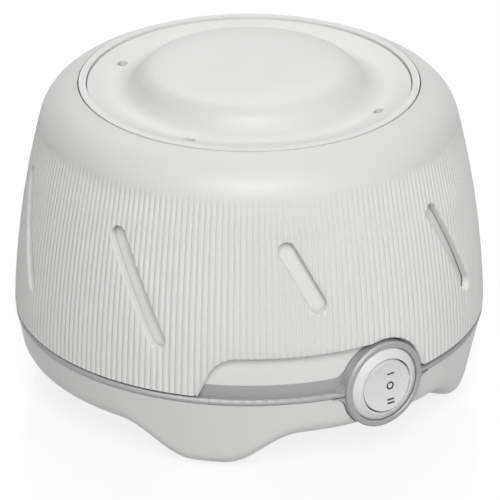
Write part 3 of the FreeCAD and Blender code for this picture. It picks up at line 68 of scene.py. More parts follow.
def mesh_object(name, points, faces):
    mesh = bpy.data.meshes.new(name)
    mesh.from_pydata([tuple(p) for p in points], [], faces)
    mesh.update()
    made = bpy.data.objects.new(name, mesh)
    bpy.context.scene.collection.objects.link(made)
    return made


def outward(made):
    """Turns every face of a closed mesh so that it points outwards."""
    work = bmesh.new()
    work.from_mesh(made.data)
    bmesh.ops.recalc_face_normals(work, faces=work.faces)
    work.to_mesh(made.data)
    work.free()
    return made


def smooth_shaded(made, sharp_degrees=SHARP_DEGREES):
    made.data.shade_smooth()
    made.data.set_sharp_from_angle(angle=math.radians(sharp_degrees))


def made_plain(made):
    """Applies the modifiers: the evaluated mesh takes the place of the object's own."""
    graph = bpy.context.evaluated_depsgraph_get()
    mesh = bpy.data.meshes.new_from_object(made.evaluated_get(graph))
    made.modifiers.clear()
    made.data = mesh
    mesh.name = made.name


def prism(name, near, far):
    """A closed bar between two outlines with equally many points."""
    count = len(near)
    faces = [tuple(range(count)), tuple(reversed(range(count, 2 * count)))]
    faces += [(i, i + count, (i + 1) % count + count, (i + 1) % count) for i in range(count)]
    return outward(mesh_object(name, near + far, faces))


def cut_away(made, cutter):
    """Cuts one closed mesh out of another and removes the cutter."""
    cut = made.modifiers.new("cut", "BOOLEAN")
    cut.operation = "DIFFERENCE"
    cut.solver = "EXACT"
    cut.object = cutter
    made_plain(made)
    bpy.data.objects.remove(cutter)


def finished(made, body, node, slot):
    """Puts a piece on its CAD body in the place of a CAD node, in the material of its slot."""
    made.data.materials.clear()
    made.data.materials.append(MATERIALS[slot])
    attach(made, body)
    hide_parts(node)
    print(made.name, len(made.data.polygons), "faces")


# %% [markdown]
# ## Turned shapes
# Most of this housing comes off a lathe in spirit: a line is drawn once and swept round an axis.
# A profile here is a closed ring of (radius, height) points, and the sweep closes on itself, so
# there is no seam to hide. Points on the axis are welded into one pole.

# %% Helpers for turned shapes
def swept(name, profile, columns):
    """Sweeps a closed profile right round the Z axis."""
    points, faces, rows = [], [], len(profile)
    for column in range(columns):
        azimuth = 360.0 * column / columns
        points += [polar(radius, azimuth, z) for radius, z in profile]
    for column in range(columns):
        a, b = column * rows, (column + 1) % columns * rows
        for row in range(rows):
            after = (row + 1) % rows
            faces.append((a + row, b + row, b + after, a + after))
    made = mesh_object(name, points, faces)
    work = bmesh.new()
    work.from_mesh(made.data)
    bmesh.ops.remove_doubles(work, verts=work.verts, dist=WELD)
    bmesh.ops.dissolve_degenerate(work, edges=work.edges, dist=WELD)
    work.to_mesh(made.data)
    work.free()
    return outward(made)


def arc(centre, radius, start, end, steps):
    """Points of an arc, with both ends, for angles in degrees from the +R direction."""
    angles = [math.radians(start + (end - start) * i / steps) for i in range(steps + 1)]
    return [(centre[0] + radius * math.cos(a), centre[1] + radius * math.sin(a)) for a in angles]


def curved_line(points, steps):
    """A smooth line through points, as a Catmull-Rom spline."""
    ends = [points[0]] + list(points) + [points[-1]]
    line = []
    for a, b, c, d in zip(ends, ends[1:], ends[2:], ends[3:]):
        for i in range(steps):
            t = i / steps
            line.append(tuple(0.5 * (2 * q + (r - p) * t + (2 * p - 5 * q + 4 * r - s) * t * t
                                     + (3 * q - p - 3 * r + s) * t ** 3)
                              for p, q, r, s in zip(a, b, c, d)))
    return line + [points[-1]]


# %% [markdown]
# ## A light studio
# The machine was photographed on a white sweep with large soft lights. The background is white by
# itself. The floor glows white towards the camera only, and is grey to the lamps, so that the white
# plastic keeps its tones.

# %% Camera
CAMERA_AZIMUTH = -34.3
CAMERA_ELEVATION = 25.17
CAMERA_DISTANCE = 1600.0
LENS_MM = 370.5
SENSOR_MM = 36.0
NEAREST_SEEN = 0.05
FARTHEST_SEEN = 20.0
LOOK_FROM_HEIGHT = 54.0
AIM_RIGHT = 0.25
AIM_HEIGHT = 42.0


def add_camera():
    turn, tip = math.radians(CAMERA_AZIMUTH), math.radians(CAMERA_ELEVATION)
    back = Vector((math.sin(turn) * math.cos(tip), -math.cos(turn) * math.cos(tip), math.sin(tip)))
    right = Vector((math.cos(turn), math.sin(turn), 0.0))
    place = Vector((0, 0, LOOK_FROM_HEIGHT)) + back * CAMERA_DISTANCE
    aim = right * AIM_RIGHT + Vector((0, 0, AIM_HEIGHT))
    lens = bpy.data.cameras.new("camera")
    lens.lens = LENS_MM
    lens.sensor_width = SENSOR_MM
    lens.clip_start = NEAREST_SEEN
    lens.clip_end = FARTHEST_SEEN
    camera = bpy.data.objects.new("camera", lens)
    bpy.context.scene.collection.objects.link(camera)
    camera.location = place * MM
    camera.rotation_euler = (aim - place).to_track_quat("-Z", "Y").to_euler()
    bpy.context.scene.camera = camera
    return camera


camera = add_camera()
print("camera at", [round(v, 3) for v in camera.location])

# %% [markdown]
# The three soft lamps stand round the object, so they are given as azimuth, elevation and
# distance from its middle. The large front lamp hangs above and behind the camera, and leaves the
# drum's sides darker. The back lamp lights the dish, and the low lamp the switch and the feet.

# %% Lamps, floor and background
LAMPS = (
    ("front lamp", -32.0, 44.0, 2.2, 1.2, 29.5),
    ("back lamp", 150.0, 50.0, 1.3, 1.0, 5.0),
    ("low lamp", 10.0, 14.0, 1.3, 0.8, 1.7),
)
WORLD_LEVEL = 0.16


def add_lamp(name, azimuth, elevation, distance, size, watts):
    turn, tip = math.radians(azimuth), math.radians(elevation)
    direction = Vector((math.sin(turn) * math.cos(tip), -math.cos(turn) * math.cos(tip), math.sin(tip)))
    light = bpy.data.lights.new(name, "AREA")
    light.shape = "DISK"
    light.size = size
    light.energy = watts
    lamp = bpy.data.objects.new(name, light)
    bpy.context.scene.collection.objects.link(lamp)
    lamp.location = direction * distance
    lamp.rotation_euler = direction.to_track_quat("Z", "Y").to_euler()


for lamp in LAMPS:
    add_lamp(*lamp)


def seen_directly(nodes):
    """1 where the camera, a mirror or clear glass looks straight at the surface."""
    path = nodes.new("ShaderNodeLightPath")
    glossy = nodes.new("ShaderNodeMath")
    glossy.operation = "MAXIMUM"
    clear = nodes.new("ShaderNodeMath")
    clear.operation = "MAXIMUM"
    links = path.id_data.links
    links.new(path.outputs["Is Camera Ray"], glossy.inputs[0])
    links.new(path.outputs["Is Glossy Ray"], glossy.inputs[1])
    links.new(glossy.outputs[0], clear.inputs[0])
    links.new(path.outputs["Is Transmission Ray"], clear.inputs[1])
    return clear.outputs[0]


def set_world():
    world = bpy.data.worlds.new("studio")
    bpy.context.scene.world = world
    world.use_nodes = True
    nodes, links = world.node_tree.nodes, world.node_tree.links
    background = nodes["Background"]
    background.inputs["Color"].default_value = (1, 1, 1, 1)
    level = nodes.new("ShaderNodeMapRange")
    level.inputs["To Min"].default_value = WORLD_LEVEL
    level.inputs["To Max"].default_value = 1.0
    links.new(seen_directly(nodes), level.inputs["Value"])
    links.new(level.outputs["Result"], background.inputs["Strength"])


FLOOR_HALF = 3.0
FLOOR_COLOR = (0.5, 0.5, 0.5, 1)
FLOOR_ROUGHNESS = 0.2
FLOOR_WHITE_SHARE = 0.62
FLOOR_WHITE_LEVEL = 1.34


def add_floor():
    """A wide floor, white to the camera, that throws some light back and takes a faint shadow."""
    half = FLOOR_HALF
    corners = ((-half, -half, 0), (half, -half, 0), (half, half, 0), (-half, half, 0))
    floor = mesh_object("floor", corners, [(0, 1, 2, 3)])
    material = bpy.data.materials.new("floor")
    material.use_nodes = True
    shader = material.node_tree.nodes["Principled BSDF"]
    shader.inputs["Base Color"].default_value = FLOOR_COLOR
    shader.inputs["Roughness"].default_value = FLOOR_ROUGHNESS
    nodes, links = material.node_tree.nodes, material.node_tree.links
    white = nodes.new("ShaderNodeEmission")
    white.inputs["Strength"].default_value = FLOOR_WHITE_LEVEL
    share = nodes.new("ShaderNodeMath")
    share.operation = "MULTIPLY"
    share.inputs[1].default_value = FLOOR_WHITE_SHARE
    mix = nodes.new("ShaderNodeMixShader")
    links.new(seen_directly(nodes), share.inputs[0])
    links.new(share.outputs[0], mix.inputs["Fac"])
    links.new(shader.outputs["BSDF"], mix.inputs[1])
    links.new(white.outputs["Emission"], mix.inputs[2])
    links.new(mix.outputs["Shader"], nodes["Material Output"].inputs["Surface"])
    floor.data.materials.append(material)


set_world()
add_floor()
bpy.context.scene.view_settings.view_transform = "Standard"
print(len(LAMPS), "lamps, a floor and a white background")

# %% [markdown]
# ## Finishes
# Four effects are used again and again, so each is a shader node group. `Moulded skin` gives
# plastic its very fine spark-eroded grain and a slight cloudiness. `Brushed skin` draws the metal's
# fine lines along one axis. `Stacked sheets` bands the motor's core and `Wire turns` its winding.
# Each group puts out only a colour, a roughness and a height.

# %% Node group helpers
SKIN_INPUTS = (
    ("Color", "NodeSocketColor", (0.8, 0.8, 0.8, 1)),
    ("Second Color", "NodeSocketColor", (0.6, 0.6, 0.6, 1)),
    ("Roughness", "NodeSocketFloat", 0.4),
    ("Roughness Spread", "NodeSocketFloat", 0.1),
    ("Grain Scale", "NodeSocketFloat", 1000.0),
)
SKIN_OUTPUTS = (
    ("Color", "NodeSocketColor"),
    ("Roughness", "NodeSocketFloat"),
    ("Height", "NodeSocketFloat"),
)


def new_group(name):
    """A shader node group with the inputs and outputs that all finishes share."""
    group = bpy.data.node_groups.new(name, "ShaderNodeTree")
    for label, kind, value in SKIN_INPUTS:
        socket = group.interface.new_socket(label, in_out="INPUT", socket_type=kind)
        socket.default_value = value
    for label, kind in SKIN_OUTPUTS:
        group.interface.new_socket(label, in_out="OUTPUT", socket_type=kind)
    nodes = group.nodes
    return group, nodes.new("NodeGroupInput"), nodes.new("NodeGroupOutput")


def noise(nodes, vector, scale, detail, roughness=0.5):
    """A noise pattern. Its scale may be a number or a socket."""
    links = nodes.id_data.links
    texture = nodes.new("ShaderNodeTexNoise")
    texture.inputs["Detail"].default_value = detail
    texture.inputs["Roughness"].default_value = roughness
    links.new(vector, texture.inputs["Vector"])
    if isinstance(scale, float):
        texture.inputs["Scale"].default_value = scale
    else:
        links.new(scale, texture.inputs["Scale"])
    return texture.outputs["Fac"]


def ranged(nodes, value, span, target):
    """Maps a value from one range of numbers to another."""
    node = nodes.new("ShaderNodeMapRange")
    nodes.id_data.links.new(value, node.inputs["Value"])
    for label, end in zip(("From Min", "From Max", "To Min", "To Max"), span + target):
        node.inputs[label].default_value = end
    return node.outputs["Result"]


def math_node(nodes, operation, a, b):
    node = nodes.new("ShaderNodeMath")
    node.operation = operation
    for socket, value in zip(node.inputs, (a, b)):
        nodes.id_data.links.new(value, socket)
    return node.outputs[0]


def put_out_color(nodes, end, factor, first, second):
    """The group's colour, mixed from two of its inputs."""
    links = nodes.id_data.links
    mix = nodes.new("ShaderNodeMix")
    mix.data_type = "RGBA"
    links.new(factor, mix.inputs["Factor"])
    links.new(first, mix.inputs[6])
    links.new(second, mix.inputs[7])
    links.new(mix.outputs[2], end.inputs["Color"])


def put_out_roughness(nodes, start, end, pattern):
    """The group's roughness, moved up and down by a pattern."""
    extra = math_node(nodes, "MULTIPLY", ranged(nodes, pattern, PATTERN_RANGE, (-1.0, 1.0)),
                      start.outputs["Roughness Spread"])
    total = math_node(nodes, "ADD", start.outputs["Roughness"], extra)
    nodes.id_data.links.new(total, end.inputs["Roughness"])


# %% The moulded, brushed and layered skins
PATTERN_RANGE = (0.3, 0.7)
CLOUD_SCALE = 22.0
CLOUD_RANGE = (0.35, 0.7)
SMEAR_SCALE = 60.0
BRUSH_STRETCH = (0.06, 1.0, 1.0)
TARNISH_SCALE = 70.0
TARNISH_RANGE = (0.4, 0.75)
LAYER_WANDER = 0.6
LAYER_SPOT_SCALE = 120.0


def moulded_skin():
    group, start, end = new_group("Moulded skin")
    nodes = group.nodes
    place = nodes.new("ShaderNodeTexCoord").outputs["Object"]
    clouds = ranged(nodes, noise(nodes, place, CLOUD_SCALE, detail=3.0), CLOUD_RANGE, (0.0, 1.0))
    put_out_color(nodes, end, clouds, start.outputs["Color"], start.outputs["Second Color"])
    smears = noise(nodes, place, SMEAR_SCALE, detail=4.0, roughness=0.6)
    put_out_roughness(nodes, start, end, smears)
    grain = noise(nodes, place, start.outputs["Grain Scale"], detail=2.0)
    group.links.new(grain, end.inputs["Height"])
    return group


def brushed_skin():
    group, start, end = new_group("Brushed skin")
    nodes, links = group.nodes, group.links
    stretch = nodes.new("ShaderNodeMapping")
    stretch.inputs["Scale"].default_value = BRUSH_STRETCH
    links.new(nodes.new("ShaderNodeTexCoord").outputs["Object"], stretch.inputs["Vector"])
    drawn = stretch.outputs["Vector"]
    spots = noise(nodes, drawn, TARNISH_SCALE, detail=5.0, roughness=0.65)
    tarnish = ranged(nodes, spots, TARNISH_RANGE, (0.0, 1.0))
    put_out_color(nodes, end, tarnish, start.outputs["Color"], start.outputs["Second Color"])
    lines = noise(nodes, drawn, start.outputs["Grain Scale"], detail=3.0)
    put_out_roughness(nodes, start, end, lines)
    links.new(lines, end.inputs["Height"])
    return group


def layered_skin(name, axis):
    """Even fine layers across one axis, as of stacked sheets or of wire laid turn by turn."""
    group, start, end = new_group(name)
    nodes, links = group.nodes, group.links
    place = nodes.new("ShaderNodeTexCoord").outputs["Object"]
    wave = nodes.new("ShaderNodeTexWave")
    wave.bands_direction = axis
    wave.inputs["Distortion"].default_value = LAYER_WANDER
    links.new(place, wave.inputs["Vector"])
    links.new(start.outputs["Grain Scale"], wave.inputs["Scale"])
    layers = wave.outputs["Fac"]
    put_out_color(nodes, end, layers, start.outputs["Second Color"], start.outputs["Color"])
    spots = noise(nodes, place, LAYER_SPOT_SCALE, detail=4.0, roughness=0.6)
    put_out_roughness(nodes, start, end, spots)
    links.new(layers, end.inputs["Height"])
    return group


SKINS = {
    "moulded": moulded_skin(),
    "brushed": brushed_skin(),
    "sheets": layered_skin("Stacked sheets", "Z"),
    "turns": layered_skin("Wire turns", "X"),
}
print(len(SKINS), "skins")

# %% [markdown]
# A material names its skin and the few numbers that make it this plastic or that metal. Constants
# such as the metallic level, the coat and the relief's depth stay on the shader's own sockets. At
# scale 1 a wave texture repeats after tau / 20, so the scales of the layers follow from the thickness
# of a sheet and of the wire.

# %% Make the materials
WHITE = (0.815, 0.815, 0.805, 1)
WHITE_CLOUD = (0.795, 0.795, 0.785, 1)
TRIM = (0.43, 0.43, 0.435, 1)
TRIM_CLOUD = (0.4, 0.4, 0.405, 1)
SWITCH_WHITE = (0.84, 0.845, 0.845, 1)
SWITCH_CLOUD = (0.82, 0.825, 0.825, 1)
WAVE_LENGTH = math.tau / 20
SHEET_LAYERS = WAVE_LENGTH / (0.5 * MM)
WIRE_LAYERS = WAVE_LENGTH / (0.35 * MM)
COAT_ROUGHNESS = 0.2


def skin_material(name, skin, color, second, roughness, spread, grain, depth, metallic=0.0, coat=0.0):
    """A material whose colour, roughness and relief come from one of the skins."""
    material = bpy.data.materials.new(name)
    material.use_nodes = True
    nodes, links = material.node_tree.nodes, material.node_tree.links
    shader = nodes["Principled BSDF"]
    group = nodes.new("ShaderNodeGroup")
    group.node_tree = SKINS[skin]
    for (label, _, _), value in zip(SKIN_INPUTS, (color, second, roughness, spread, grain)):
        group.inputs[label].default_value = value
    bump = nodes.new("ShaderNodeBump")
    bump.inputs["Strength"].default_value = 1.0
    bump.inputs["Distance"].default_value = depth * MM
    links.new(group.outputs["Color"], shader.inputs["Base Color"])
    links.new(group.outputs["Roughness"], shader.inputs["Roughness"])
    links.new(group.outputs["Height"], bump.inputs["Height"])
    links.new(bump.outputs["Normal"], shader.inputs["Normal"])
    shader.inputs["Metallic"].default_value = metallic
    shader.inputs["Coat Weight"].default_value = coat
    shader.inputs["Coat Roughness"].default_value = COAT_ROUGHNESS
    return material


def grey(level, tint=0.0):
    return (level, level, level * (1 + tint), 1)


# Each line holds the skin, the colour, the second colour, the roughness and its spread, the grain's
# scale, the relief's depth in mm, and for some the metallic level and the coat.
LOOKS = {
    "white_shell": ("moulded", WHITE, WHITE_CLOUD, 0.42, 0.05, 2600, 0.006),
    "grey_trim": ("moulded", TRIM, TRIM_CLOUD, 0.5, 0.04, 2400, 0.004, 0.3),
    "white_switch": ("moulded", SWITCH_WHITE, SWITCH_CLOUD, 0.28, 0.04, 1800, 0.002, 0.0, 0.15),
    "dark_rubber": ("moulded", grey(0.03), grey(0.045), 0.75, 0.1, 1500, 0.03),
    "plated_steel": ("brushed", grey(0.62, -0.03), grey(0.5, 0.04), 0.34, 0.1, 1100, 0.003, 1.0),
    "core_steel": ("sheets", grey(0.26, 0.05), grey(0.12), 0.5, 0.12, SHEET_LAYERS, 0.04, 1.0),
    "ground_steel": ("brushed", grey(0.72), grey(0.64), 0.16, 0.05, 2000, 0.001, 1.0),
    "cast_aluminium": ("brushed", grey(0.74, 0.02), grey(0.6), 0.42, 0.15, 400, 0.02, 1.0),
    "copper": ("brushed", (0.72, 0.36, 0.2, 1), (0.5, 0.22, 0.12, 1), 0.3, 0.1, 900, 0.003, 1.0),
    "enamelled_wire": ("turns", (0.56, 0.19, 0.07, 1), (0.2, 0.05, 0.02, 1), 0.3, 0.1, WIRE_LAYERS, 0.1,
                       0.9, 0.5),
    "contact_brass": ("brushed", (0.8, 0.62, 0.32, 1), (0.62, 0.46, 0.22, 1), 0.3, 0.1, 1200, 0.003, 1.0),
    "bush_bronze": ("moulded", (0.46, 0.3, 0.14, 1), (0.34, 0.22, 0.1, 1), 0.4, 0.1, 1600, 0.02, 1.0),
    "felt": ("moulded", (0.62, 0.58, 0.5, 1), (0.5, 0.46, 0.39, 1), 0.95, 0.05, 1200, 0.25),
    "bobbin_nylon": ("moulded", (0.76, 0.73, 0.62, 1), (0.72, 0.69, 0.58, 1), 0.38, 0.06, 1800, 0.006),
    "fan_plastic": ("moulded", grey(0.035, 0.1), grey(0.05, 0.1), 0.45, 0.08, 1500, 0.01),
    "black_insulation": ("moulded", grey(0.02), grey(0.03), 0.45, 0.08, 900, 0.01),
    "red_insulation": ("moulded", (0.42, 0.02, 0.015, 1), (0.36, 0.02, 0.015, 1), 0.4, 0.08, 900, 0.01),
    "white_insulation": ("moulded", grey(0.7), grey(0.64), 0.4, 0.08, 900, 0.01),
    "switch_marks": ("moulded", grey(0.05), grey(0.06), 0.5, 0.05, 1500, 0.002),
}
MATERIALS = {name: skin_material(name, *look) for name, look in LOOKS.items()}
print(len(MATERIALS), "materials")

# %% [markdown]
# Every CAD node first gets the material of its slot, inner ones too, since the machine may be
# shown opened up. The outer parts are replaced one by one after that.

# %% Give every CAD node its material
for entry in frame["record"]["subparts"]:
    node = frame["nodes"][entry["node"]]
    node.data.materials.clear()
    node.data.materials.append(MATERIALS[entry["material_slot"]])

# %% [markdown]
# ## Copies round the axis
# Ribs, slots and holes all stand in a ring. One Geometry Nodes tree serves them: it takes the
# object's own mesh, places a number of copies round the Z axis, makes them real, welds what
# meets and sets the material.

# %% The ring tree
def ring_tree():
    tree = bpy.data.node_groups.new("Copies round the axis", "GeometryNodeTree")
    face = tree.interface
    face.new_socket("Geometry", in_out="INPUT", socket_type="NodeSocketGeometry")
    for label, kind, value in (("Count", "NodeSocketInt", 8), ("First Azimuth", "NodeSocketFloat", 0.0),
                               ("Weld Distance", "NodeSocketFloat", 1e-6)):
        face.new_socket(label, in_out="INPUT", socket_type=kind).default_value = value
    face.new_socket("Material", in_out="INPUT", socket_type="NodeSocketMaterial")
    face.new_socket("Geometry", in_out="OUTPUT", socket_type="NodeSocketGeometry")
    nodes, links = tree.nodes, tree.links
    start, end = nodes.new("NodeGroupInput"), nodes.new("NodeGroupOutput")
    points = nodes.new("GeometryNodePoints")
    copies = nodes.new("GeometryNodeInstanceOnPoints")
    index = nodes.new("GeometryNodeInputIndex")
    step = nodes.new("ShaderNodeMath")
    step.operation = "DIVIDE"
    step.inputs[0].default_value = math.tau
    angle = nodes.new("ShaderNodeMath")
    angle.operation = "MULTIPLY_ADD"
    turn = nodes.new("ShaderNodeCombineXYZ")
    real = nodes.new("GeometryNodeRealizeInstances")
    weld = nodes.new("GeometryNodeMergeByDistance")
    paint = nodes.new("GeometryNodeSetMaterial")
    links.new(start.outputs["Count"], points.inputs["Count"])
    links.new(start.outputs["Count"], step.inputs[1])
    links.new(index.outputs["Index"], angle.inputs[0])
    links.new(step.outputs[0], angle.inputs[1])
    links.new(start.outputs["First Azimuth"], angle.inputs[2])
    links.new(angle.outputs[0], turn.inputs["Z"])
    links.new(points.outputs["Geometry"], copies.inputs["Points"])
    links.new(start.outputs["Geometry"], copies.inputs["Instance"])
    links.new(turn.outputs["Vector"], copies.inputs["Rotation"])
    links.new(copies.outputs["Instances"], real.inputs["Geometry"])
    links.new(real.outputs["Geometry"], weld.inputs["Geometry"])
    links.new(start.outputs["Weld Distance"], weld.inputs["Distance"])
    links.new(weld.outputs["Geometry"], paint.inputs["Geometry"])
    links.new(start.outputs["Material"], paint.inputs["Material"])
    links.new(paint.outputs["Geometry"], end.inputs["Geometry"])
    return tree


RING = ring_tree()
print("ring tree", len(RING.nodes), "nodes")


def set_inputs(modifier, values):
    """Sets a Geometry Nodes modifier's inputs by their names in the tree."""
    for item in modifier.node_group.interface.items_tree:
        if item.item_type == "SOCKET" and item.in_out == "INPUT" and item.name in values:
            modifier[item.identifier] = values[item.name]


def in_a_ring(made, count, first_degrees=0.0, slot="white_shell"):
    """Repeats an object's mesh round the Z axis and makes the result plain."""
    modifier = made.modifiers.new("ring", "NODES")
    modifier.node_group = RING
    set_inputs(modifier, {"Count": count, "First Azimuth": math.radians(first_degrees),
                          "Weld Distance": WELD, "Material": MATERIALS[slot]})
    made_plain(made)
    return made


# %% [markdown]
# ## The collar's line
# The collar's outer line is one long, almost straight arc for the wall, a tight arc for the
# shoulder and a short straight run to the opening. The same line moved inwards draws its inside,
# so the wall is equally thick everywhere. The lower edge stands a little over the ring, which
# leaves a fine dark gap.

# %% Skin line of the collar
COLLAR_EDGE_Z = 27.3
COLLAR_BOTTOM = (73.3, 27.0)
COLLAR_MID = (70.37, 59.0)
SHOULDER_START = (64.5, 88.4)
SHOULDER_R = 14.0
SHOULDER_END = 65.0
SHOULDER_RUN = (0.33, 0.67, 1.0)
COLLAR_WALL = 2.2
OPENING_R = 52.8


def circle_through(a, b, c):
    d = 2 * (a[0] * (b[1] - c[1]) + b[0] * (c[1] - a[1]) + c[0] * (a[1] - b[1]))
    sa, sb, sc = (p[0] ** 2 + p[1] ** 2 for p in (a, b, c))
    x = (sa * (b[1] - c[1]) + sb * (c[1] - a[1]) + sc * (a[1] - b[1])) / d
    z = (sa * (c[0] - b[0]) + sb * (a[0] - c[0]) + sc * (b[0] - a[0])) / d
    return x, z, math.hypot(a[0] - x, a[1] - z)


WALL_X, WALL_Z, WALL_R = circle_through(COLLAR_BOTTOM, COLLAR_MID, SHOULDER_START)
WALL_END = math.degrees(math.atan2(SHOULDER_START[1] - WALL_Z, SHOULDER_START[0] - WALL_X))
SHOULDER_CENTRE = (SHOULDER_START[0] - SHOULDER_R * math.cos(math.radians(WALL_END)),
                   SHOULDER_START[1] - SHOULDER_R * math.sin(math.radians(WALL_END)))


def wall_radius(offset, z):
    return WALL_X + math.sqrt((WALL_R - offset) ** 2 - (z - WALL_Z) ** 2)


def skin_line(offset, wall_steps, shoulder_steps):
    """The line this far inside the collar's outside, from its lower edge up to the opening."""
    low = math.degrees(math.asin((COLLAR_EDGE_Z - WALL_Z) / (WALL_R - offset)))
    wall = arc((WALL_X, WALL_Z), WALL_R - offset, low, WALL_END, wall_steps)
    shoulder = arc(SHOULDER_CENTRE, SHOULDER_R - offset, WALL_END, SHOULDER_END, shoulder_steps)
    end = shoulder[-1]
    slope = math.radians(SHOULDER_END)
    drop = (end[0] - OPENING_R) / math.sin(slope)
    tip = (OPENING_R, end[1] + drop * math.cos(slope))
    run = [(end[0] + (tip[0] - end[0]) * t, end[1] + (tip[1] - end[1]) * t) for t in SHOULDER_RUN]
    return wall + shoulder[1:] + run


print("wall arc radius mm", round(WALL_R, 1))

# %% [markdown]
# ## The ribbed collar
# About 230 fine upright ribs give a grip on the collar: broad rounded crests with narrow grooves
# between them. They start at its lower edge and sink into the skin at the shoulder. One strip of
# the collar, as wide as one rib, is drawn right round its wall, and the ring tree repeats it. Only
# the ribbed rows are divided across, so a strip stays light. Cutting comes afterwards, so that
# slots and window run straight through the ribs.

# %% Draw one rib and repeat it
RIB_COUNT = 230
GROOVE_DEPTH = 0.6
GROOVE_LINE = ((0.0, 0.0), (0.25, 0.12), (0.5, 1.0), (0.75, 0.12))
RIB_FADE = (83.0, 91.0)
RIB_ROWS_Z = (34.0, 43.0, 52.0, 61.0, 70.0, 78.0, 83.0, 85.7)
EDGE_ROUND = 0.35
EDGE_CHAMFER = 0.1
EDGE_SHARE = 0.6


def rib_share(z):
    """1 where the grooves are full and 0 where they have sunk into the skin."""
    t = (RIB_FADE[1] - z) / (RIB_FADE[1] - RIB_FADE[0])
    t = min(1.0, max(0.0, t))
    return t * t * (3 - 2 * t)


def shoulder_rows():
    """The outside over the shoulder, up to the opening."""
    return skin_line(0, wall_steps=1, shoulder_steps=12)[1:]


def ribbed_rows():
    """The outside from its lower edge to the height where the grooves end, with their share."""
    low_r = wall_radius(0, COLLAR_EDGE_Z)
    rows = [((low_r - EDGE_CHAMFER, COLLAR_EDGE_Z + EDGE_CHAMFER), EDGE_SHARE)]
    rows += [((wall_radius(0, z), z), rib_share(z)) for z in RIB_ROWS_Z]
    return rows + [(p, rib_share(p[1])) for p in shoulder_rows() if p[1] < RIB_FADE[1]]


def plain_rows():
    """The rest of the wall's section: over the shoulder, round the opening's lip and down inside."""
    rows = [p for p in shoulder_rows() if p[1] >= RIB_FADE[1]]
    tip = rows[-1]
    rows.append((tip[0], tip[1] - EDGE_ROUND))
    rows += skin_line(COLLAR_WALL, wall_steps=7, shoulder_steps=5)[::-1]
    rows.append((wall_radius(0, COLLAR_EDGE_Z) - EDGE_ROUND, COLLAR_EDGE_Z))
    return rows


def rib_strip():
    """One rib wide strip. Where ribbed and plain rows meet, one face spans the whole width."""
    pitch = 360.0 / RIB_COUNT
    ribbed, plain = ribbed_rows(), plain_rows()
    columns = list(GROOVE_LINE) + [(1.0, GROOVE_LINE[0][1])]
    across = len(columns)
    points = [polar(r - GROOVE_DEPTH * hollow * share, pitch * place, z)
              for (r, z), share in ribbed for place, hollow in columns]
    start = len(points)
    points += [polar(r, azimuth, z) for r, z in plain for azimuth in (0.0, pitch)]
    faces = []
    for row in range(len(ribbed) - 1):
        a, b = row * across, (row + 1) * across
        faces += [(a + c, a + c + 1, b + c + 1, b + c) for c in range(across - 1)]
    for row in range(len(plain) - 1):
        a = start + 2 * row
        faces.append((a, a + 1, a + 3, a + 2))
    upper, last = (len(ribbed) - 1) * across, start + 2 * (len(plain) - 1)
    faces.append(tuple(range(upper, upper + across)) + (start + 1, start))
    faces.append(tuple(range(across - 1, -1, -1)) + (last, last + 1))
    return mesh_object("tone_collar_ribbed", points, faces)


collar = outward(in_a_ring(rib_strip(), RIB_COUNT))
print("ribs", RIB_COUNT, "pitch mm", round(math.tau * COLLAR_BOTTOM[0] / RIB_COUNT, 2))

# %% [markdown]
# ## Slots
# Eight slanted slots let the fan's sound out when the collar is turned over the drum's own slots.
# One slot is short, because the switch is under it. A slot's first cutter is a bar with round ends
# that points straight out. A second one runs along the same outline and rounds the wall's outer
# edge, so the ribs end cleanly there. The ring tree stands both round the collar.

# %% Cut the slots
SLOT_COUNT = 8
SLOT_FIRST_AZIMUTH = 26.8
SLOT_TOP_Z = 75.7
SLOT_BOTTOM_Z = 41.6
SLOT_SHORT_BOTTOM_Z = 53.4
SLOT_TWIST = 14.6
SLOT_WIDTH = 5.2
SLOT_END_STEPS = 16
SLOT_SIDE_STEPS = 8
SLOT_EDGE_ROUND = 0.7
EDGE_STEPS = 4
CLEAR_OUT = 0.5
CLEAR_ASIDE = 0.4
CUT_NEAR = 60.0
CUT_FAR = 90.0


def slot_outline(bottom_z):
    """A slot's outline as (x, z) points: a slanted bar with round ends at azimuth 0."""
    rise = SLOT_TOP_Z - SLOT_BOTTOM_Z
    run = wall_radius(0, (SLOT_TOP_Z + SLOT_BOTTOM_Z) / 2) * math.radians(SLOT_TWIST)
    slant = math.atan2(run, rise)
    length = math.hypot(run, rise) * (SLOT_TOP_Z - bottom_z) / rise
    half = SLOT_WIDTH / 2
    shares = [i / SLOT_SIDE_STEPS for i in range(1, SLOT_SIDE_STEPS)]
    outline = arc((0, -half), half, 0, 180, SLOT_END_STEPS)
    outline += [(-half, -half + (2 * half - length) * t) for t in shares]
    outline += arc((0, half - length), half, 180, 360, SLOT_END_STEPS)
    outline += [(half, half - length - (2 * half - length) * t) for t in shares]
    cos, sin = math.cos(slant), math.sin(slant)
    return [(x * cos - z * sin - run / 2, x * sin + z * cos + SLOT_TOP_Z) for x, z in outline]


def slot_bar(name, bottom_z):
    """A bar through the wall along a slot's outline."""
    near, far = ([Vector((x, -distance, z)) * MM for x, z in slot_outline(bottom_z)]
                 for distance in (CUT_NEAR, CUT_FAR))
    return prism(name, near, far)


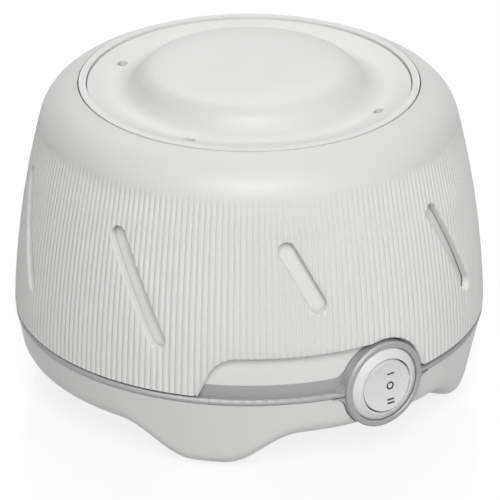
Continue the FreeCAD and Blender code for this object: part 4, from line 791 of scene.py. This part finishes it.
def edge_cutter(name, line, rounding, closed=False):
    """Rounds the wall's outer edge along a line of (azimuth, height) points.

    The wall lies to the left of the line. The section is a corner less a quarter circle.
    """
    section = [(-rounding, -CLEAR_ASIDE), (CLEAR_OUT, -CLEAR_ASIDE), (CLEAR_OUT, rounding)]
    for i in range(EDGE_STEPS + 1):
        angle = math.pi / 2 * i / EDGE_STEPS
        section.append((-rounding * (1 - math.cos(angle)), rounding * (1 - math.sin(angle))))
    radius = COLLAR_MID[0]
    flat = [(math.radians(azimuth) * radius, z) for azimuth, z in line]
    points, faces, across, count = [], [], len(section), len(flat)
    for i, (x, z) in enumerate(flat):
        before = flat[i - 1] if closed else flat[max(i - 1, 0)]
        after = flat[(i + 1) % count] if closed else flat[min(i + 1, count - 1)]
        dx, dz = after[0] - before[0], after[1] - before[1]
        length = math.hypot(dx, dz)
        for out, aside in section:
            px, pz = x - dz / length * aside, z + dx / length * aside
            points.append(polar(wall_radius(0, pz) + out, math.degrees(px / radius), pz))
    for i in range(count if closed else count - 1):
        a, b = across * i, across * ((i + 1) % count)
        faces += [(a + k, a + (k + 1) % across, b + (k + 1) % across, b + k) for k in range(across)]
    if not closed:
        last = across * (count - 1)
        faces += [tuple(reversed(range(across))), tuple(range(last, last + across))]
    return outward(mesh_object(name, points, faces))


def slot_edge(name, bottom_z):
    """The edge cutter of one slot. Its outline runs the other way, with the wall to the left."""
    backwards = reversed(slot_outline(bottom_z))
    line = [(math.degrees(math.asin(x / wall_radius(0, z))), z) for x, z in backwards]
    return edge_cutter(name, line, SLOT_EDGE_ROUND, closed=True)


def joined(first, second):
    """Adds the second object's mesh to the first and removes the second."""
    work = bmesh.new()
    work.from_mesh(first.data)
    work.from_mesh(second.data)
    work.to_mesh(first.data)
    work.free()
    bpy.data.objects.remove(second)


def in_eight_places(long_piece, short_piece):
    """Stands seven long pieces and the short one round the collar, as one mesh."""
    pitch = 360.0 / SLOT_COUNT
    row = in_a_ring(short_piece, 1, SLOT_FIRST_AZIMUTH - pitch)
    for place in range(SLOT_COUNT - 1):
        piece = bpy.data.objects.new("slot", long_piece.data.copy())
        bpy.context.scene.collection.objects.link(piece)
        joined(row, in_a_ring(piece, 1, SLOT_FIRST_AZIMUTH + place * pitch))
    bpy.data.objects.remove(long_piece)
    return row


cut_away(collar, in_eight_places(slot_bar("slot", SLOT_BOTTOM_Z),
                                 slot_bar("short slot", SLOT_SHORT_BOTTOM_Z)))
cut_away(collar, in_eight_places(slot_edge("slot edge", SLOT_BOTTOM_Z),
                                 slot_edge("short slot edge", SLOT_SHORT_BOTTOM_Z)))
print("collar with slots", len(collar.data.polygons), "faces")

# %% [markdown]
# ## The switch window
# The collar's lower edge is cut away over the switch's ring, and to its left as far as the collar
# turns. The opening's upper edge is one line with a single height at each azimuth, so its cutter
# can be a fan of upright slices: a leaning left side, a large round corner, a level run, the
# circle over the switch and a small outward corner on the right. A second cutter runs along the
# same line and rounds the edge.

# %% Cut the window
SWITCH_Z = 25.7
BEZEL_R = 13.95
WINDOW_GAP = 0.9
CUT_R = BEZEL_R + WINDOW_GAP
WINDOW_TOP_Z = 40.0
WINDOW_LEFT_AZIMUTH = -42.5
WINDOW_CORNER_R = 9.8
WINDOW_CORNER_X = 6.9
WINDOW_LEAN = 60.0
CUT_CORNER_R = 2.6
WINDOW_FLOOR_Z = 22.0
WINDOW_EDGE_ROUND = 0.8
CORNER_STEPS = 10
LEVEL_STEPS = 16
CIRCLE_STEPS = 40
FLARE_STEPS = 8


def window_line():
    """The window's upper edge as (azimuth, height) points from left to right."""
    radius = COLLAR_BOTTOM[0]
    corner_z = WINDOW_TOP_Z - WINDOW_CORNER_R
    corner = arc((WINDOW_CORNER_X, corner_z), WINDOW_CORNER_R, 90 + WINDOW_LEAN, 90, CORNER_STEPS)
    lean = math.radians(WINDOW_LEAN)
    drop = corner[0][1] - WINDOW_FLOOR_Z
    foot = (corner[0][0] - drop / math.tan(lean), WINDOW_FLOOR_Z)
    left = WINDOW_LEFT_AZIMUTH
    line = [(left + math.degrees(math.asin(x / radius)), z) for x, z in [foot] + corner]
    rise = WINDOW_TOP_Z - SWITCH_Z
    meet_x = math.sqrt(CUT_R ** 2 - rise ** 2)
    meet = math.degrees(math.asin(-meet_x / wall_radius(0, WINDOW_TOP_Z)))
    start = line[-1][0]
    for i in range(1, LEVEL_STEPS):
        line.append((start + (meet - start) * i / LEVEL_STEPS, WINDOW_TOP_Z))
    flare_z = COLLAR_BOTTOM[1] + CUT_CORNER_R
    flare_x = math.sqrt((CUT_R + CUT_CORNER_R) ** 2 - (flare_z - SWITCH_Z) ** 2)
    lower = math.degrees(math.atan2(flare_z - SWITCH_Z, flare_x))
    upper = math.degrees(math.atan2(rise, -meet_x))
    circle = arc((0, SWITCH_Z), CUT_R, upper, lower, CIRCLE_STEPS)
    flare = arc((flare_x, flare_z), CUT_CORNER_R, 180 + lower, 270, FLARE_STEPS)
    for x, z in circle + flare[1:]:
        line.append((math.degrees(math.asin(x / wall_radius(0, z))), z))
    return line


def slices_cutter(name, line, floor_z):
    """A cutter as upright slices under a line of (azimuth, height) points."""
    points, faces = [], []
    for azimuth, z in line:
        points += [polar(CUT_NEAR, azimuth, floor_z), polar(CUT_NEAR, azimuth, z),
                   polar(CUT_FAR, azimuth, z), polar(CUT_FAR, azimuth, floor_z)]
    for i in range(len(line) - 1):
        a, b = 4 * i, 4 * (i + 1)
        faces += [(a + k, a + (k + 1) % 4, b + (k + 1) % 4, b + k) for k in range(4)]
    last = 4 * (len(line) - 1)
    faces += [(0, 3, 2, 1), (last, last + 1, last + 2, last + 3)]
    return outward(mesh_object(name, points, faces))


cut_away(collar, slices_cutter("window", window_line(), WINDOW_FLOOR_Z))
cut_away(collar, edge_cutter("window edge", window_line(), WINDOW_EDGE_ROUND))
smooth_shaded(collar)
finished(collar, "collar", "tone_collar", "white_shell")

# %% [markdown]
# ## The cap
# The cap is a dish with a raised crown, drawn as one smooth line through a few points and swept
# round. Its four small sound holes are pressed through the dish, and the edge has a small round
# where the plastic left the mould.

# %% Turn the cap and punch its holes
CAP_LINE = (
    (0.0, 105.9), (7.5, 105.86), (15.0, 105.75), (21.0, 105.6), (26.0, 105.35), (30.5, 104.6),
    (33.3, 102.9), (35.6, 100.3), (38.0, 98.35), (41.5, 97.4), (45.5, 97.9), (49.5, 99.08),
)
CAP_EDGE_R = 49.9
CAP_EDGE_Z = 98.75
CAP_EDGE_ROUND = 0.4
CAP_SKIRT_Z = 95.3
CAP_WALL = 2.0
CAP_HOLE_COUNT = 4
CAP_HOLE_AZIMUTH = 31.0
CAP_HOLE_R = 43.3
CAP_HOLE_LENGTH = 4.1
CAP_HOLE_WIDTH = 2.7
CAP_HOLE_LOW_Z = CAP_SKIRT_Z - 2
CAP_HOLE_HIGH_Z = 110.0
SPINDLE_R = 5.0
SPINDLE_LOW_Z = 91.8
CAP_LINE_STEPS = 5
CAP_COLUMNS = 192


def cap_profile():
    top = curved_line(CAP_LINE, CAP_LINE_STEPS)
    edge = arc((CAP_EDGE_R - CAP_EDGE_ROUND, CAP_EDGE_Z), CAP_EDGE_ROUND, 70, 0, 4)
    inner_r = CAP_EDGE_R - CAP_WALL
    under = [(r, z - CAP_WALL) for r, z in reversed(top) if SPINDLE_R < r < inner_r]
    skirt = [(CAP_EDGE_R, CAP_SKIRT_Z), (inner_r, CAP_SKIRT_Z)]
    spindle = [(SPINDLE_R, under[-1][1]), (SPINDLE_R, SPINDLE_LOW_Z), (0.0, SPINDLE_LOW_Z)]
    return top + edge + skirt + under + spindle


def hole_bar():
    """A short upright bar with round ends, across the radius at azimuth 0."""
    half = CAP_HOLE_WIDTH / 2
    reach = CAP_HOLE_LENGTH / 2 - half
    outline = arc((reach, -CAP_HOLE_R), half, -90, 90, 8)
    outline += arc((-reach, -CAP_HOLE_R), half, 90, 270, 8)
    low, high = ([Vector((x, y, z)) * MM for x, y in outline] for z in (CAP_HOLE_LOW_Z, CAP_HOLE_HIGH_Z))
    return prism("cap hole", low, high)


cap = swept("tone_cap_turned", cap_profile(), CAP_COLUMNS)
cut_away(cap, outward(in_a_ring(hole_bar(), CAP_HOLE_COUNT, CAP_HOLE_AZIMUTH)))
smooth_shaded(cap)
finished(cap, "cap", "tone_cap", "white_shell")

# %% [markdown]
# ## Marks on the rocker
# The rocker carries the usual three marks: a line for low, a ring for off and two lines for high.
# Such marks are usually printed, so here each is a plate 0.05 mm proud that follows the
# rocker's hollow front. A plate is a small grid of points in the plane of the front, and its depth
# comes from the hollow's circle.

# %% Plates that follow the rocker's hollow
ROCKER_FRONT_Y = -74.6
ROCKER_DISH = 0.9
ROCKER_DISH_R = 34.72
MARK_PROUD = 0.05
MARK_X = 1.4
MARK_WIDTH = 2.6
MARK_HEIGHT = 0.55
MARK_RING_R = (0.8, 1.35)
MARK_RING_STEPS = 40
MARK_SHARP_DEGREES = 30
LOW_Z = 29.4
OFF_Z = 25.3
HIGH_Z = (20.8, 19.7)


def hollow_y(z):
    """Depth of the rocker's front at a height: a hollow cylinder whose axis is level."""
    axis_y = ROCKER_FRONT_Y + ROCKER_DISH - ROCKER_DISH_R
    return axis_y + math.sqrt(ROCKER_DISH_R ** 2 - (z - SWITCH_Z) ** 2)


def plate_from_rows(name, rows, closed=False):
    """A thin plate from rows of (x, z) points. Closed rows meet again, as round a ring."""
    columns, front = len(rows[0]), len(rows) * len(rows[0])
    points = []
    for depth in (-MARK_PROUD, MARK_PROUD):
        points += [Vector((x, hollow_y(z) + depth, z)) * MM for row in rows for x, z in row]
    faces = []
    for r in range(len(rows) if closed else len(rows) - 1):
        here, after = r * columns, (r + 1) % len(rows) * columns
        for c in range(columns - 1):
            faces.append((here + c, here + c + 1, after + c + 1, after + c))
            faces.append((front + here + c, front + after + c, front + after + c + 1,
                          front + here + c + 1))
        for side in (here, here + columns - 1):
            end = side - here + after
            faces.append((side, end, front + end, front + side))
    for row in () if closed else (0, front - columns):
        for c in range(row, row + columns - 1):
            faces.append((c, c + 1, front + c + 1, front + c))
    return outward(mesh_object(name, points, faces))


def line_mark(name, z):
    across = [MARK_X - MARK_WIDTH / 2 + MARK_WIDTH * i / 6 for i in range(7)]
    rows = [[(x, z - MARK_HEIGHT / 2 + MARK_HEIGHT * k / 2) for x in across] for k in range(3)]
    return plate_from_rows(name, rows)


def ring_mark(name, z):
    rows = []
    for i in range(MARK_RING_STEPS):
        turn = math.tau * i / MARK_RING_STEPS
        rows.append([(MARK_X + r * math.cos(turn), z + r * math.sin(turn)) for r in MARK_RING_R])
    return plate_from_rows(name, rows, closed=True)


MARKS = (
    line_mark("mark_low", LOW_Z),
    ring_mark("mark_off", OFF_Z),
    line_mark("mark_high_upper", HIGH_Z[0]),
    line_mark("mark_high_lower", HIGH_Z[1]),
)
for mark in MARKS:
    smooth_shaded(mark, MARK_SHARP_DEGREES)
    mark.data.materials.append(MATERIALS["switch_marks"])
    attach(mark, "rocker")
print(len(MARKS), "marks")

# %% [markdown]
# ## Foot pads
# Each foot stands on a soft round pad with a rolled edge and two shallow rings moulded in its
# sole. One pad is turned at the axis, moved out to the first foot, and the ring tree copies it.

# %% Turn a pad and copy it to the four feet
PAD_R = 7.0
PAD_T = 1.8
PAD_PITCH_R = 50.0
PAD_ROLL = 0.5
PAD_CHAMFER = 0.2
PAD_SOLE = ((0.0, 0.0), (2.6, 0.0), (2.8, 0.25), (3.3, 0.25), (3.5, 0.0), (5.2, 0.0), (5.4, 0.25),
            (5.9, 0.25), (6.1, 0.0))
PAD_COLUMNS = 64
FOOT_COUNT = 4
FOOT_FIRST_AZIMUTH = 45.0


def pad_profile():
    roll = arc((PAD_R - PAD_ROLL, PAD_ROLL), PAD_ROLL, -90, 0, 4)
    top = [(PAD_R, PAD_T - PAD_CHAMFER), (PAD_R - PAD_CHAMFER, PAD_T), (0.0, PAD_T)]
    return list(PAD_SOLE) + roll + top


pads = swept("foot_pads_turned", pad_profile(), PAD_COLUMNS)
pads.data.transform(Matrix.Translation(polar(PAD_PITCH_R, 0, 0)))
in_a_ring(pads, FOOT_COUNT, FOOT_FIRST_AZIMUTH, "dark_rubber")
smooth_shaded(pads)
finished(pads, "base", "foot_pads", "dark_rubber")

# %% Last steps
bpy.context.view_layer.update()
